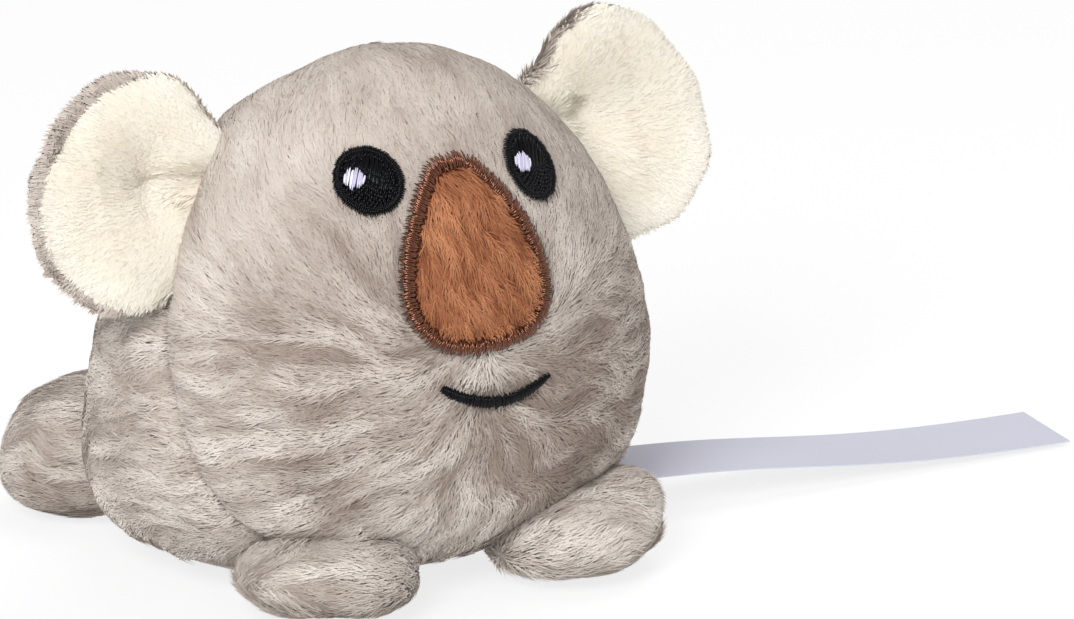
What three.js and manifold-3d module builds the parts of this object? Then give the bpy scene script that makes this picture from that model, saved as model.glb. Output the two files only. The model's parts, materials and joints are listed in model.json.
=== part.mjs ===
// A palm-sized plush koala whose underside is a microfibre pad for wiping screens.
// Units are millimetres. +Z is up, the toy faces -Y, and +X is the toy's own left.
// The origin is on the flat of the cleaning pad, on the surface that the toy stands on, below the
// middle of the body's widest ring.
import * as THREE from "three";
import { mergeVertices } from "three/addons/utils/BufferGeometryUtils.js";
import Module from "manifold-3d";

const wasm = await Module();
wasm.setup();

// Body: a leaning egg whose lower half is fuller behind than in front
const BODY_HALF_WIDTH = 32.5;
const BODY_FRONT_DEPTH = 30.8;
const BODY_REAR_DEPTH = 29.8;
const BODY_HEIGHT = 61;
const BODY_WAIST_HEIGHT = 18.6;
const BODY_LEAN = 0.24; // how far the body leans to the front for each unit of height
const UPPER_ROUNDNESS = 1.06;
const LOWER_FRONT_ROUNDNESS = 0.8; // under 1 is fuller than an ellipse
const LOWER_REAR_ROUNDNESS = 0.6;
const SOLE_SINK = 0.9; // the rounded bottom is pressed flat by this much
const BODY_SIDES = 24;
const BODY_RINGS = 12;
const FILLING_COARSENESS = 2; // how many facets of the plush one facet of the stuffing spans

// Plush, seams and what is inside
const PLUSH_THICKNESS = 2.5;
const FABRIC_GAP = 0.3; // between any two pieces that touch on the real toy
const SOLE_SEAM_HEIGHT = 4.5;
const FACE_SEAM_FOOT_Y = -20.5; // where the face seam's plane meets the floor
const FACE_SEAM_SLOPE = 0.33; // how far that plane leans back for each unit of height
const SEAM_ALLOWANCE = 2.6; // how far the turned-in edges reach inwards from the plush
const SEAM_EDGE_THICKNESS = 1.1;
const PLUSH_OVERLAP = 0.6; // by which a turned-in edge runs into its own plush
const BAG_HALF_WIDTH = 17;
const BAG_HALF_DEPTH = 16;
const BAG_HALF_HEIGHT = 7.2;
const BAG_WALL = 0.8;
const BAG_SIDES = 14;
const BAG_RINGS = 7;

// Ears
const EAR_RADIUS = 12.9;
const EAR_CENTRE_X = 28.4;
const EAR_CENTRE_HEIGHT = 47.4;
const EAR_FRONT_THICKNESS = 3.4;
const EAR_BACK_THICKNESS = 4.4;
const EAR_LOBE = 0.13; // share of the radius by which the low outer side stands out of a circle
const EAR_LOBE_ANGLE = -42; // degrees up from straight out
const EAR_PLUMPNESS = 0.8; // under 1 is fuller towards the rim than a lens
const EAR_CUP = 1.6; // how far the rim curls to the front
const EAR_SWEEP = 0.08; // how far the ear leans back for each unit outwards
const EAR_PLEAT_DEPTH = 3.6; // how far the pleat at the root is drawn back
const EAR_PLEAT_WIDTH = 4.6;
const EAR_PLEAT_REACH = 11;
const EAR_ROOT_THICKNESS_SHARE = 0.5; // the sewn root is flatter than the middle
const EAR_ROOT_BLEND = 9;
const EAR_HINGE_HEIGHT = 45;
const EAR_ROOT_HALF_HEIGHT = 9; // the ear is sewn into the seam this far above and below its hinge
const EAR_SWING = 25; // degrees, to the back and to the front
const EAR_SIDES = 22;
const EAR_RINGS = 8;

// Feet: a pod each, sewn of an upper and a lower piece and stuffed
const FOOT_PLUSH = 1.8;
const FOOT_LIFT = 1.2; // the feet end this far above the floor, so that the pad carries the toy
const FOOT_SEAM_SHARE = 0.36; // height of a foot's own side seam, as a share of the foot
const FOOT_SWING_UP = 8; // degrees, before its root is squashed against the body
const FOOT_SWING_DOWN = 3; // it meets the floor there
const FOOT_SIDES = 16;
const FOOT_RINGS = 8;
const FOOT_FLATNESS = 0.84; // under 1 is boxier than an ellipsoid
const FRONT_FOOT = { x: 15.2, y: -20.2, width: 21.4, length: 21.2, height: 10.4 };
const REAR_FOOT = { x: 20.9, y: 28.0, width: 23.6, length: 22.8, height: 15.0 };

// Face. It is sewn on a little askew, so its pieces are shifted to one side or the other.
const EYE_X = 9.65;
const EYES_SHIFT = -0.65;
const EYE_HEIGHT = 50.25;
const EYES_TILT = 0.4; // by which the toy's right eye sits above the height, and the left below it
const EYE_WIDTH = 7.3;
const EYE_TALLNESS = 8.5;
const EYE_LEAN_LEFT = 2.5; // degrees by which the top of the eye leans to the toy's right
const EYE_LEAN_RIGHT = 33;
const EYE_RIM_WIDTH = 0.9;
const GLINT_WIDTH = 2.5;
const GLINT_HEIGHT = 2.1;
const GLINT_SHIFT_X = -1.45; // towards the toy's right on both eyes
const GLINT_SHIFT_UP = 0.3;
const EYE_SIDES = 20;
const GLINT_SIDES = 10;
const NOSE_SHIFT = -0.5;
const NOSE_WIDEST_HEIGHT = 38.1;
const NOSE_HALF_WIDTH = 8.7;
const NOSE_RISE = 14.3; // from its widest place to its tip
const NOSE_DROP = 6.6;
const NOSE_TILT = 3.5; // degrees by which its tip leans to the toy's right
const NOSE_TAPER = 0.59; // share by which it narrows from its widest place to its tip
const NOSE_TIP_ROUNDNESS = 0.42; // under 1 is fuller than an ellipse
const NOSE_FOOT_ROUNDNESS = 0.7;
const NOSE_BORDER_WIDTH = 1.6;
const NOSE_SIDES = 28;
const MOUTH_SHIFT = 0.8;
const MOUTH_HALF_WIDTH = 6.6;
const MOUTH_END_HEIGHT = 27.8;
const MOUTH_TILT = 0.4; // by which its end at the toy's right is higher than that, and the other lower
const MOUTH_DROP = 2.1;
const MOUTH_THICKNESS = 1.45;
const MOUTH_END_THINNESS = 0.45; // share of its thickness that is left at the ends
const MOUTH_STEPS = 12;
const STITCH_SINK = 1.2; // how deep the stitching presses into the pile
const STITCH_STAND = 0.25; // how far the stitching stands out of the pile
const NOSE_STAND = 1.0;
const GLINT_THICKNESS = 0.5;

// Ribbon
const RIBBON_WIDTH = 11;
const RIBBON_THICKNESS = 0.4;
const RIBBON_LENGTH = 63;
const RIBBON_TUCK = 2; // how far it starts behind the seam's line, before the body is cut from it
const RIBBON_ROOT_HEADING = -19; // degrees round the pad's seam, from the toy's left to its front
const RIBBON_YAW = -3; // degrees, towards the front
const RIBBON_TWIST = 5; // degrees that its front edge is turned up at the root
const RIBBON_RISE = 1; // it arches up by this before it droops
const RIBBON_ARCH_SHARE = 0.42; // of its length, over which it arches
const RIBBON_END_DROP = 3.2;
const RIBBON_DROOP_POWER = 1.3; // 1 would be a straight slope, and more bends it towards its end
const RIBBON_STEPS = 14;
const RIBBON_SWING_UP = 40; // degrees, until it lies against the belly
const RIBBON_SWING_DOWN = 1.5; // it meets the floor there

const BIG = 200; // larger than the toy, for cutting tools
const STAMP_DEPTH = 12; // of the cutting tools of the face, in front of and behind the plush

const grey = new THREE.MeshStandardMaterial({ color: "#a89f99", roughness: 0.95 });
const cream = new THREE.MeshStandardMaterial({ color: "#efe9dc", roughness: 0.95 });
const brown = new THREE.MeshStandardMaterial({ color: "#b06a42", roughness: 0.9 });
const darkBrown = new THREE.MeshStandardMaterial({ color: "#4a2a1c", roughness: 0.55 });
const black = new THREE.MeshStandardMaterial({ color: "#111113", roughness: 0.6 });
const whiteThread = new THREE.MeshStandardMaterial({ color: "#e6e4f2", roughness: 0.5 });
const microfibre = new THREE.MeshStandardMaterial({ color: "#bdb9b6", roughness: 1 });
const satin = new THREE.MeshStandardMaterial({ color: "#e3e1ec", roughness: 0.35 });
const fibre = new THREE.MeshStandardMaterial({ color: "#f4f2ee", roughness: 1 });
const lining = new THREE.MeshStandardMaterial({ color: "#e9e6df", roughness: 0.9 });
const pellets = new THREE.MeshStandardMaterial({ color: "#dfe3e4", roughness: 0.4 });

const radians = THREE.MathUtils.degToRad;
const mix = THREE.MathUtils.lerp;

// Solids

function solidOf(geometry) {
  const plain = geometry.clone();
  plain.deleteAttribute("normal");
  plain.deleteAttribute("uv");
  const merged = mergeVertices(plain, 1e-4);
  return new wasm.Manifold(
    new wasm.Mesh({
      numProp: 3,
      vertProperties: merged.attributes.position.array,
      triVerts: new Uint32Array(merged.index.array),
    }),
  );
}

function geometryOf(solid) {
  const mesh = solid.getMesh();
  const geometry = new THREE.BufferGeometry();
  geometry.setAttribute("position", new THREE.BufferAttribute(Float32Array.from(mesh.vertProperties), 3));
  geometry.setIndex(new THREE.BufferAttribute(Uint32Array.from(mesh.triVerts), 1));
  geometry.computeVertexNormals();
  return geometry;
}

// A unit sphere with each point moved by shape(x, y, z), which gives a Vector3.
function shapedSphere(sides, rings, shape, turned = false) {
  const sphere = new THREE.SphereGeometry(1, sides, rings);
  if (turned) sphere.rotateX(Math.PI / 2);
  const points = sphere.attributes.position;
  for (let i = 0; i < points.count; i++) {
    const moved = shape(points.getX(i), points.getY(i), points.getZ(i));
    points.setXYZ(i, moved.x, moved.y, moved.z);
  }
  return solidOf(sphere);
}

// A prism of an outline in the XZ plane that runs along Y.
function prismAlongY(outline, yFrom, yTo) {
  const shape = new THREE.Shape(outline);
  const extruded = new THREE.ExtrudeGeometry(shape, { depth: yTo - yFrom, bevelEnabled: false });
  extruded.rotateX(Math.PI / 2);
  extruded.translate(0, yTo, 0);
  return solidOf(extruded);
}

// A solid moved by a matrix. A matrix that mirrors turns the faces inside out, so they are turned back.
function movedBy(solid, matrix) {
  const geometry = geometryOf(solid).applyMatrix4(matrix);
  if (matrix.determinant() < 0) geometry.index.array.reverse();
  return solidOf(geometry);
}

function turnedAbout(solid, point, axis, degrees) {
  const turn = new THREE.Matrix4()
    .makeTranslation(point.x, point.y, point.z)
    .multiply(new THREE.Matrix4().makeRotationAxis(axis, radians(degrees)))
    .multiply(new THREE.Matrix4().makeTranslation(-point.x, -point.y, -point.z));
  return movedBy(solid, turn);
}

// What is left of a swinging piece once all that stands still has been cut from it at each turn.
function clearOf(solid, still, point, axis, turns) {
  return turns.reduce((left, degrees) => left.subtract(turnedAbout(still, point, axis, -degrees)), solid);
}

function largestPart(solid) {
  return solid.decompose().sort((a, b) => b.volume() - a.volume())[0];
}

const mirrored = (solid) => movedBy(solid, new THREE.Matrix4().makeScale(-1, 1, 1));

// Body surface

const leanAt = (z) => -BODY_LEAN * (z - BODY_WAIST_HEIGHT);

// Each ring of the body is an ellipse in plan whose rear and front halves differ in depth.
// The offset moves the surface outwards, and the bottom can have one of its own.
function bodyPoint(sx, sy, sz, offset, bottomOffset) {
  const across = Math.hypot(sx, sy);
  const cosine = across < 1e-9 ? 1 : sx / across;
  const sine = across < 1e-9 ? 0 : sy / across;
  const depth = (sine < 0 ? BODY_FRONT_DEPTH : BODY_REAR_DEPTH) + offset;
  const lower = mix(LOWER_FRONT_ROUNDNESS, LOWER_REAR_ROUNDNESS, 0.5 + 0.5 * sine);
  const power = sz < 0 ? lower : UPPER_ROUNDNESS;
  const upperReach = BODY_HEIGHT - BODY_WAIST_HEIGHT + offset;
  const reach = sz < 0 ? BODY_WAIST_HEIGHT + SOLE_SINK + bottomOffset : upperReach;
  const z = BODY_WAIST_HEIGHT + Math.sign(sz) * reach * Math.abs(sz) ** power;
  const share = across ** power;
  return new THREE.Vector3(
    (BODY_HALF_WIDTH + offset) * share * cosine,
    depth * share * sine + leanAt(z),
    z,
  );
}

const bodyCache = new Map();
function body(offset, bottomOffset = offset, coarseness = 1) {
  const key = `${offset} ${bottomOffset} ${coarseness}`;
  if (!bodyCache.has(key)) {
    const shape = (x, y, z) => bodyPoint(x, y, z, offset, bottomOffset);
    bodyCache.set(key, shapedSphere(BODY_SIDES / coarseness, BODY_RINGS / coarseness, shape, true));
  }
  return bodyCache.get(key);
}

// The plush surface where a line along Y at x and z enters the body from the front or the rear.
function bodySurfaceY(x, z, side) {
  const above = z >= BODY_WAIST_HEIGHT;
  const reach = above ? BODY_HEIGHT - BODY_WAIST_HEIGHT : BODY_WAIST_HEIGHT + SOLE_SINK;
  const power = above ? UPPER_ROUNDNESS : LOWER_FRONT_ROUNDNESS;
  const rise = (Math.abs(z - BODY_WAIST_HEIGHT) / reach) ** (1 / power);
  const share = Math.sqrt(1 - rise * rise) ** power;
  const depth = side < 0 ? BODY_FRONT_DEPTH : BODY_REAR_DEPTH;
  return side * depth * share * Math.sqrt(1 - (x / (BODY_HALF_WIDTH * share)) ** 2) + leanAt(z);
}

// The half-width of the body at a height and a depth, above the waist.
function bodySurfaceX(y, z) {
  const rise = ((z - BODY_WAIST_HEIGHT) / (BODY_HEIGHT - BODY_WAIST_HEIGHT)) ** (1 / UPPER_ROUNDNESS);
  const share = Math.sqrt(1 - rise * rise) ** UPPER_ROUNDNESS;
  const local = y - leanAt(z);
  const depth = local < 0 ? BODY_FRONT_DEPTH : BODY_REAR_DEPTH;
  return BODY_HALF_WIDTH * share * Math.sqrt(1 - (local / (depth * share)) ** 2);
}

// The point of the plush at a height below the waist, in a direction in plan from the body's axis.
function bodyRim(heading, z) {
  const backward = Math.sin(heading) >= 0;
  const depth = backward ? BODY_REAR_DEPTH : BODY_FRONT_DEPTH;
  const angle = Math.atan2(Math.sin(heading) / depth, Math.cos(heading) / BODY_HALF_WIDTH);
  const power = mix(LOWER_FRONT_ROUNDNESS, LOWER_REAR_ROUNDNESS, 0.5 + 0.5 * Math.sin(angle));
  const drop = ((BODY_WAIST_HEIGHT - z) / (BODY_WAIST_HEIGHT + SOLE_SINK)) ** (1 / power);
  const share = Math.sqrt(1 - drop * drop) ** power;
  return new THREE.Vector3(
    BODY_HALF_WIDTH * share * Math.cos(angle),
    depth * share * Math.sin(angle) + leanAt(z),
    z,
  );
}

// Seams. Each is a plane with a normal and a distance from the origin.

const faceSeam = {
  normal: new THREE.Vector3(0, 1, -FACE_SEAM_SLOPE).normalize(),
  distance: FACE_SEAM_FOOT_Y / Math.hypot(1, FACE_SEAM_SLOPE),
};
const levelPlane = (height) => ({ normal: new THREE.Vector3(0, 0, 1), distance: height });
const backSeam = { normal: new THREE.Vector3(1, 0, 0), distance: 0 };
const soleSeam = levelPlane(SOLE_SEAM_HEIGHT);
const faceSeamY = (z) => FACE_SEAM_FOOT_Y + FACE_SEAM_SLOPE * z;

// What lies between two distances from a seam's plane.
function between(seam, from, to) {
  const block = new THREE.BoxGeometry(BIG, BIG, to - from);
  block.translate(0, 0, seam.distance + (from + to) / 2);
  block.applyQuaternion(new THREE.Quaternion().setFromUnitVectors(new THREE.Vector3(0, 0, 1), seam.normal));
  return solidOf(block);
}

// The part of a solid on one side of a seam, kept back from its plane by a margin.
function sideOf(solid, seam, side, margin) {
  return solid.intersect(side > 0 ? between(seam, margin, BIG) : between(seam, -BIG, -margin));
}

const slabAt = (solid, seam, halfWidth) => solid.intersect(between(seam, -halfWidth, halfWidth));

const insideOfPlush = -PLUSH_THICKNESS;
const allowanceDepth = insideOfPlush - SEAM_ALLOWANCE;
const halfGap = FABRIC_GAP / 2;

const aboveFloor = (solid) => sideOf(solid, levelPlane(0), 1, 0);
const plushShell = aboveFloor(body(0)).subtract(body(insideOfPlush));

// What lies between two depths of the body, which at the bottom are both at the inside of the plush.
const bandInside = (outer, inner) => body(outer, insideOfPlush).subtract(body(inner, insideOfPlush));
const allowanceBand = bandInside(insideOfPlush + PLUSH_OVERLAP, allowanceDepth);

// A panel between seams: its plush, and its edges turned in along each seam.
function panel(sides) {
  const cut = (solid) => sides.reduce((left, [seam, side]) => sideOf(left, seam, side, halfGap), solid);
  let made = cut(plushShell);
  for (const [seam] of sides) {
    made = made.add(cut(slabAt(allowanceBand, seam, halfGap + SEAM_EDGE_THICKNESS)));
  }
  return largestPart(made);
}

// Face

// An ellipse about a centre, with its top leaned to the toy's right.
function ellipseOutline(centre, width, height, leanDegrees, sides) {
  return Array.from({ length: sides }, (_, i) => {
    const angle = (2 * Math.PI * i) / sides;
    const point = new THREE.Vector2((width / 2) * Math.cos(angle), (height / 2) * Math.sin(angle));
    return point.rotateAround(new THREE.Vector2(), radians(leanDegrees)).add(centre);
  });
}

// A blunt egg standing on its wide end.
function noseOutline(inset) {
  const centre = new THREE.Vector2(NOSE_SHIFT, NOSE_WIDEST_HEIGHT);
  return Array.from({ length: NOSE_SIDES }, (_, i) => {
    const angle = (2 * Math.PI * i) / NOSE_SIDES;
    const rise = Math.sin(angle);
    const round = Math.abs(Math.cos(angle));
    const upper = round ** NOSE_TIP_ROUNDNESS * (1 - NOSE_TAPER * rise * rise);
    const across = rise > 0 ? upper : round ** NOSE_FOOT_ROUNDNESS;
    const point = new THREE.Vector2(
      Math.sign(Math.cos(angle)) * (NOSE_HALF_WIDTH - inset) * across,
      ((rise > 0 ? NOSE_RISE : NOSE_DROP) - inset) * rise,
    );
    return point.rotateAround(new THREE.Vector2(), radians(NOSE_TILT)).add(centre);
  });
}

function mouthOutline(grow) {
  const upper = [];
  const lower = [];
  for (let i = 0; i <= MOUTH_STEPS; i++) {
    const along = (2 * i) / MOUTH_STEPS - 1;
    const x = along * (MOUTH_HALF_WIDTH + grow);
    const z = MOUTH_END_HEIGHT - MOUTH_TILT * along - MOUTH_DROP * (1 - along * along);
    const half = (MOUTH_THICKNESS / 2) * mix(MOUTH_END_THINNESS, 1, Math.sqrt(1 - along * along)) + grow;
    upper.push(new THREE.Vector2(MOUTH_SHIFT + x, z + half));
    lower.push(new THREE.Vector2(MOUTH_SHIFT + x, z - half));
  }
  return [...upper, ...lower.reverse()];
}

// A frame on the front plush whose own -Y axis points straight out of it.
function plushFrame(x, z) {
  const step = 0.5;
  const slopeX = (bodySurfaceY(x + step, z, -1) - bodySurfaceY(x - step, z, -1)) / (2 * step);
  const slopeZ = (bodySurfaceY(x, z + step, -1) - bodySurfaceY(x, z - step, -1)) / (2 * step);
  const outward = new THREE.Vector3(slopeX, -1, slopeZ).normalize();
  const turn = new THREE.Quaternion().setFromUnitVectors(new THREE.Vector3(0, -1, 0), outward);
  const place = new THREE.Vector3(x, bodySurfaceY(x, z, -1), z);
  return new THREE.Matrix4().compose(place, turn, new THREE.Vector3(1, 1, 1));
}

// The outline of a feature cuts it from the band of the body between two depths.
const fromFront = new THREE.Matrix4().makeTranslation(0, -BODY_FRONT_DEPTH, 0);
function stamped(outline, outer, inner, frame = fromFront) {
  const stamp = movedBy(prismAlongY(outline, -STAMP_DEPTH, STAMP_DEPTH), frame);
  return stamp.intersect(body(outer).subtract(body(inner)));
}

const eyeFrame = (side) => plushFrame(side * EYE_X + EYES_SHIFT, EYE_HEIGHT - side * EYES_TILT);

function eyeDisc(side, inset) {
  const lean = side > 0 ? EYE_LEAN_LEFT : EYE_LEAN_RIGHT;
  const centre = new THREE.Vector2();
  return ellipseOutline(centre, EYE_WIDTH - 2 * inset, EYE_TALLNESS - 2 * inset, lean, EYE_SIDES);
}

function glintDisc(grow) {
  const centre = new THREE.Vector2(GLINT_SHIFT_X, GLINT_SHIFT_UP);
  return ellipseOutline(centre, GLINT_WIDTH + 2 * grow, GLINT_HEIGHT + 2 * grow, 0, GLINT_SIDES);
}

const glint = (side) => stamped(glintDisc(0), STITCH_STAND, STITCH_STAND - GLINT_THICKNESS, eyeFrame(side));

function eyeFill(side) {
  const roomFloor = STITCH_STAND - GLINT_THICKNESS - FABRIC_GAP;
  const glintRoom = stamped(glintDisc(FABRIC_GAP), PLUSH_THICKNESS, roomFloor, eyeFrame(side));
  const disc = eyeDisc(side, EYE_RIM_WIDTH + FABRIC_GAP);
  return stamped(disc, STITCH_STAND, -STITCH_SINK, eyeFrame(side)).subtract(glintRoom);
}

const eyeRim = (side) =>
  stamped(eyeDisc(side, 0), STITCH_STAND, -STITCH_SINK, eyeFrame(side))
    .subtract(stamped(eyeDisc(side, EYE_RIM_WIDTH), PLUSH_THICKNESS, -PLUSH_THICKNESS, eyeFrame(side)));

const noseBorder = stamped(noseOutline(0), STITCH_STAND, -STITCH_SINK)
  .subtract(stamped(noseOutline(NOSE_BORDER_WIDTH), PLUSH_THICKNESS, -PLUSH_THICKNESS));
const nosePatch = stamped(noseOutline(NOSE_BORDER_WIDTH + FABRIC_GAP), NOSE_STAND, -STITCH_SINK);
const mouth = stamped(mouthOutline(0), STITCH_STAND, -STITCH_SINK);

const pocket = (outline, frame) => stamped(outline, PLUSH_THICKNESS, -STITCH_SINK - FABRIC_GAP, frame);
const facePockets = [
  pocket(eyeDisc(1, -FABRIC_GAP), eyeFrame(1)),
  pocket(eyeDisc(-1, -FABRIC_GAP), eyeFrame(-1)),
  pocket(noseOutline(-FABRIC_GAP)),
  pocket(mouthOutline(FABRIC_GAP)),
];

// Inside. The bag lies on the cleaning pad, so the stuffing is open below it.
const BAG_CENTRE_HEIGHT = PLUSH_THICKNESS - SOLE_SINK + FABRIC_GAP + BAG_HALF_HEIGHT;

function bagSolid(inset) {
  const centre = new THREE.Vector3(0, leanAt(BAG_CENTRE_HEIGHT), BAG_CENTRE_HEIGHT);
  return shapedSphere(BAG_SIDES, BAG_RINGS, (x, y, z) => new THREE.Vector3(
    x * (BAG_HALF_WIDTH - inset),
    y * (BAG_HALF_DEPTH - inset),
    z * (BAG_HALF_HEIGHT - inset),
  ).add(centre), true);
}

const bagSeam = levelPlane(BAG_CENTRE_HEIGHT);
const bagShell = bagSolid(0).subtract(bagSolid(BAG_WALL));
const pelletFill = bagSolid(BAG_WALL + FABRIC_GAP);

// The stuffing fills the toy, with room for the turned-in seam edges and the bag.
function fibreFilling() {
  const room = bandInside(insideOfPlush, allowanceDepth - FABRIC_GAP);
  const edgeRoom = halfGap + SEAM_EDGE_THICKNESS + FABRIC_GAP;
  let made = body(insideOfPlush - FABRIC_GAP, insideOfPlush - FABRIC_GAP, FILLING_COARSENESS)
    .subtract(slabAt(room, faceSeam, edgeRoom))
    .subtract(slabAt(room, soleSeam, edgeRoom))
    .subtract(bagSolid(-FABRIC_GAP));
  const behindFace = sideOf(room, faceSeam, 1, 0);
  made = made.subtract(slabAt(behindFace, backSeam, edgeRoom));
  return largestPart(made);
}

// Ears

const bodyWithGap = body(FABRIC_GAP);

// How far back the ear's middle layer lies, out and up from the ear's centre.
function earMiddleY(out, up) {
  const z = EAR_CENTRE_HEIGHT + up;
  const spread = Math.hypot(out, up) / EAR_RADIUS;
  const fromRoot = Math.max(0, out + EAR_RADIUS / 2);
  const pleat = Math.exp(-((up / EAR_PLEAT_WIDTH) ** 2)) * Math.exp(-((fromRoot / EAR_PLEAT_REACH) ** 2));
  return faceSeamY(z) + EAR_SWEEP * fromRoot - EAR_CUP * spread ** 3 + EAR_PLEAT_DEPTH * pleat;
}

function earPly(frontThickness, backThickness, shift) {
  const ply = shapedSphere(EAR_SIDES, EAR_RINGS, (sx, sy, sz) => {
    const angle = Math.atan2(sz, sx);
    const lobe = EAR_LOBE * Math.cos(angle - radians(EAR_LOBE_ANGLE)) ** 3;
    const radius = EAR_RADIUS * (1 + lobe) * Math.hypot(sx, sz);
    const out = radius * Math.cos(angle);
    const up = radius * Math.sin(angle);
    const root = THREE.MathUtils.clamp((out + EAR_RADIUS / 2) / EAR_ROOT_BLEND, 0, 1);
    const plump = mix(EAR_ROOT_THICKNESS_SHARE, 1, root) * Math.abs(sy) ** EAR_PLUMPNESS;
    const depth = sy < 0 ? -frontThickness * plump : backThickness * plump;
    return new THREE.Vector3(
      EAR_CENTRE_X + out,
      earMiddleY(out, up) + shift + depth,
      EAR_CENTRE_HEIGHT + up,
    );
  });
  return clearEar(ply);
}

// The point of the face seam on the toy's left at a height.
const faceSeamAt = (z) => new THREE.Vector3(bodySurfaceX(faceSeamY(z), z), faceSeamY(z), z);
const earHinge = faceSeamAt(EAR_HINGE_HEIGHT);
const earRootTop = faceSeamAt(EAR_HINGE_HEIGHT + EAR_ROOT_HALF_HEIGHT);
const earRootBottom = faceSeamAt(EAR_HINGE_HEIGHT - EAR_ROOT_HALF_HEIGHT);
const earAxis = earRootTop.clone().sub(earRootBottom).normalize();

function clearEar(ply) {
  const turns = [0, -EAR_SWING, -EAR_SWING / 2, EAR_SWING / 2, EAR_SWING];
  return largestPart(clearOf(ply, bodyWithGap, earHinge, earAxis, turns));
}

// Feet

function footPod(foot, inset, coarseness = 1) {
  const heading = Math.atan2(foot.y - leanAt(0), foot.x);
  const halfLength = foot.length / 2 - inset;
  const halfWidth = foot.width / 2 - inset;
  const seamHeight = FOOT_LIFT + foot.height * FOOT_SEAM_SHARE;
  return shapedSphere(FOOT_SIDES / coarseness, FOOT_RINGS / coarseness, (sx, sy, sz) => {
    const across = Math.hypot(sx, sy) ** FOOT_FLATNESS;
    const angle = Math.atan2(sy, sx);
    const out = halfLength * across * Math.cos(angle);
    const aside = halfWidth * across * Math.sin(angle);
    const reach = foot.height * (sz < 0 ? FOOT_SEAM_SHARE : 1 - FOOT_SEAM_SHARE) - inset;
    return new THREE.Vector3(
      foot.x + out * Math.cos(heading) - aside * Math.sin(heading),
      foot.y + out * Math.sin(heading) + aside * Math.cos(heading),
      seamHeight + reach * Math.sign(sz) * Math.abs(sz) ** FOOT_FLATNESS,
    );
  }, true);
}

// A foot swings about the line where it is sewn into the seam round the cleaning pad.
function footHinge(foot) {
  const heading = Math.atan2(foot.y - leanAt(0), foot.x);
  return {
    point: bodyRim(heading, SOLE_SEAM_HEIGHT),
    axis: new THREE.Vector3(-Math.sin(heading), Math.cos(heading), 0),
  };
}

function footPieces(foot) {
  const hinge = footHinge(foot);
  const seam = levelPlane(FOOT_LIFT + foot.height * FOOT_SEAM_SHARE);
  const shell = footPod(foot, 0).subtract(footPod(foot, FOOT_PLUSH));
  const turns = [0, FOOT_SWING_DOWN, -FOOT_SWING_UP / 2, -FOOT_SWING_UP];
  const clear = (solid) => largestPart(clearOf(solid, bodyWithGap, hinge.point, hinge.axis, turns));
  return {
    hinge,
    top: clear(sideOf(shell, seam, 1, halfGap)),
    bottom: clear(sideOf(shell, seam, -1, halfGap)),
    filling: clear(footPod(foot, FOOT_PLUSH + FABRIC_GAP, FILLING_COARSENESS)),
  };
}

// Ribbon

const ribbonHinge = bodyRim(radians(RIBBON_ROOT_HEADING), SOLE_SEAM_HEIGHT);
const ribbonAxis = new THREE.Vector3(0, -1, 0);

function ribbonSolid() {
  const heading = new THREE.Vector3(Math.cos(radians(RIBBON_YAW)), Math.sin(radians(RIBBON_YAW)), 0);
  const positions = [];
  const index = [];
  for (let i = 0; i <= RIBBON_STEPS; i++) {
    const share = i / RIBBON_STEPS;
    const arch = RIBBON_RISE * Math.sin(Math.PI * Math.min(1, share / RIBBON_ARCH_SHARE));
    const droop = RIBBON_END_DROP * share ** RIBBON_DROOP_POWER;
    const point = heading.clone().multiplyScalar(share * RIBBON_LENGTH - RIBBON_TUCK).add(ribbonHinge);
    point.z += arch - droop;
    const up = new THREE.Vector3(0, 0, 1).applyAxisAngle(heading, radians(-RIBBON_TWIST * (1 - share)));
    const side = up.clone().cross(heading);
    for (const [across, height] of [[-1, -1], [1, -1], [1, 1], [-1, 1]]) {
      const corner = point.clone()
        .addScaledVector(side, (across * RIBBON_WIDTH) / 2)
        .addScaledVector(up, (height * RIBBON_THICKNESS) / 2);
      positions.push(corner.x, corner.y, corner.z);
    }
  }
  for (let i = 0; i < RIBBON_STEPS; i++) {
    for (let k = 0; k < 4; k++) {
      const a = 4 * i + k;
      const b = 4 * i + ((k + 1) % 4);
      index.push(a, b, a + 4, b, b + 4, a + 4);
    }
  }
  const last = 4 * RIBBON_STEPS;
  index.push(0, 2, 1, 0, 3, 2, last, last + 1, last + 2, last, last + 2, last + 3);
  const geometry = new THREE.BufferGeometry();
  geometry.setAttribute("position", new THREE.Float32BufferAttribute(positions, 3));
  geometry.setIndex(index);
  const turns = [0, -RIBBON_SWING_DOWN, RIBBON_SWING_UP / 3, (2 * RIBBON_SWING_UP) / 3, RIBBON_SWING_UP];
  return largestPart(clearOf(solidOf(geometry), bodyWithGap, ribbonHinge, ribbonAxis, turns));
}

// Assembly

const toy = new THREE.Group();

// Adds a solid as a mesh whose own origin is the given point.
function addPiece(group, name, solid, material, origin = new THREE.Vector3()) {
  const geometry = geometryOf(solid);
  geometry.translate(-origin.x, -origin.y, -origin.z);
  const mesh = new THREE.Mesh(geometry, material);
  mesh.name = name;
  group.add(mesh);
  return mesh;
}

function groupAt(point) {
  const group = new THREE.Group();
  group.position.copy(point);
  toy.add(group);
  return group;
}

const mirroredPoint = (point) => new THREE.Vector3(-point.x, point.y, point.z);

const plainFace = panel([[faceSeam, -1], [soleSeam, 1]]);
addPiece(toy, "face_panel", facePockets.reduce((left, cut) => left.subtract(cut), plainFace), grey);
const backLeft = panel([[faceSeam, 1], [soleSeam, 1], [backSeam, 1]]);
addPiece(toy, "back_panel_left", backLeft, grey);
addPiece(toy, "back_panel_right", mirrored(backLeft), grey);
addPiece(toy, "cleaning_sole", panel([[soleSeam, -1]]), microfibre);

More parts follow.
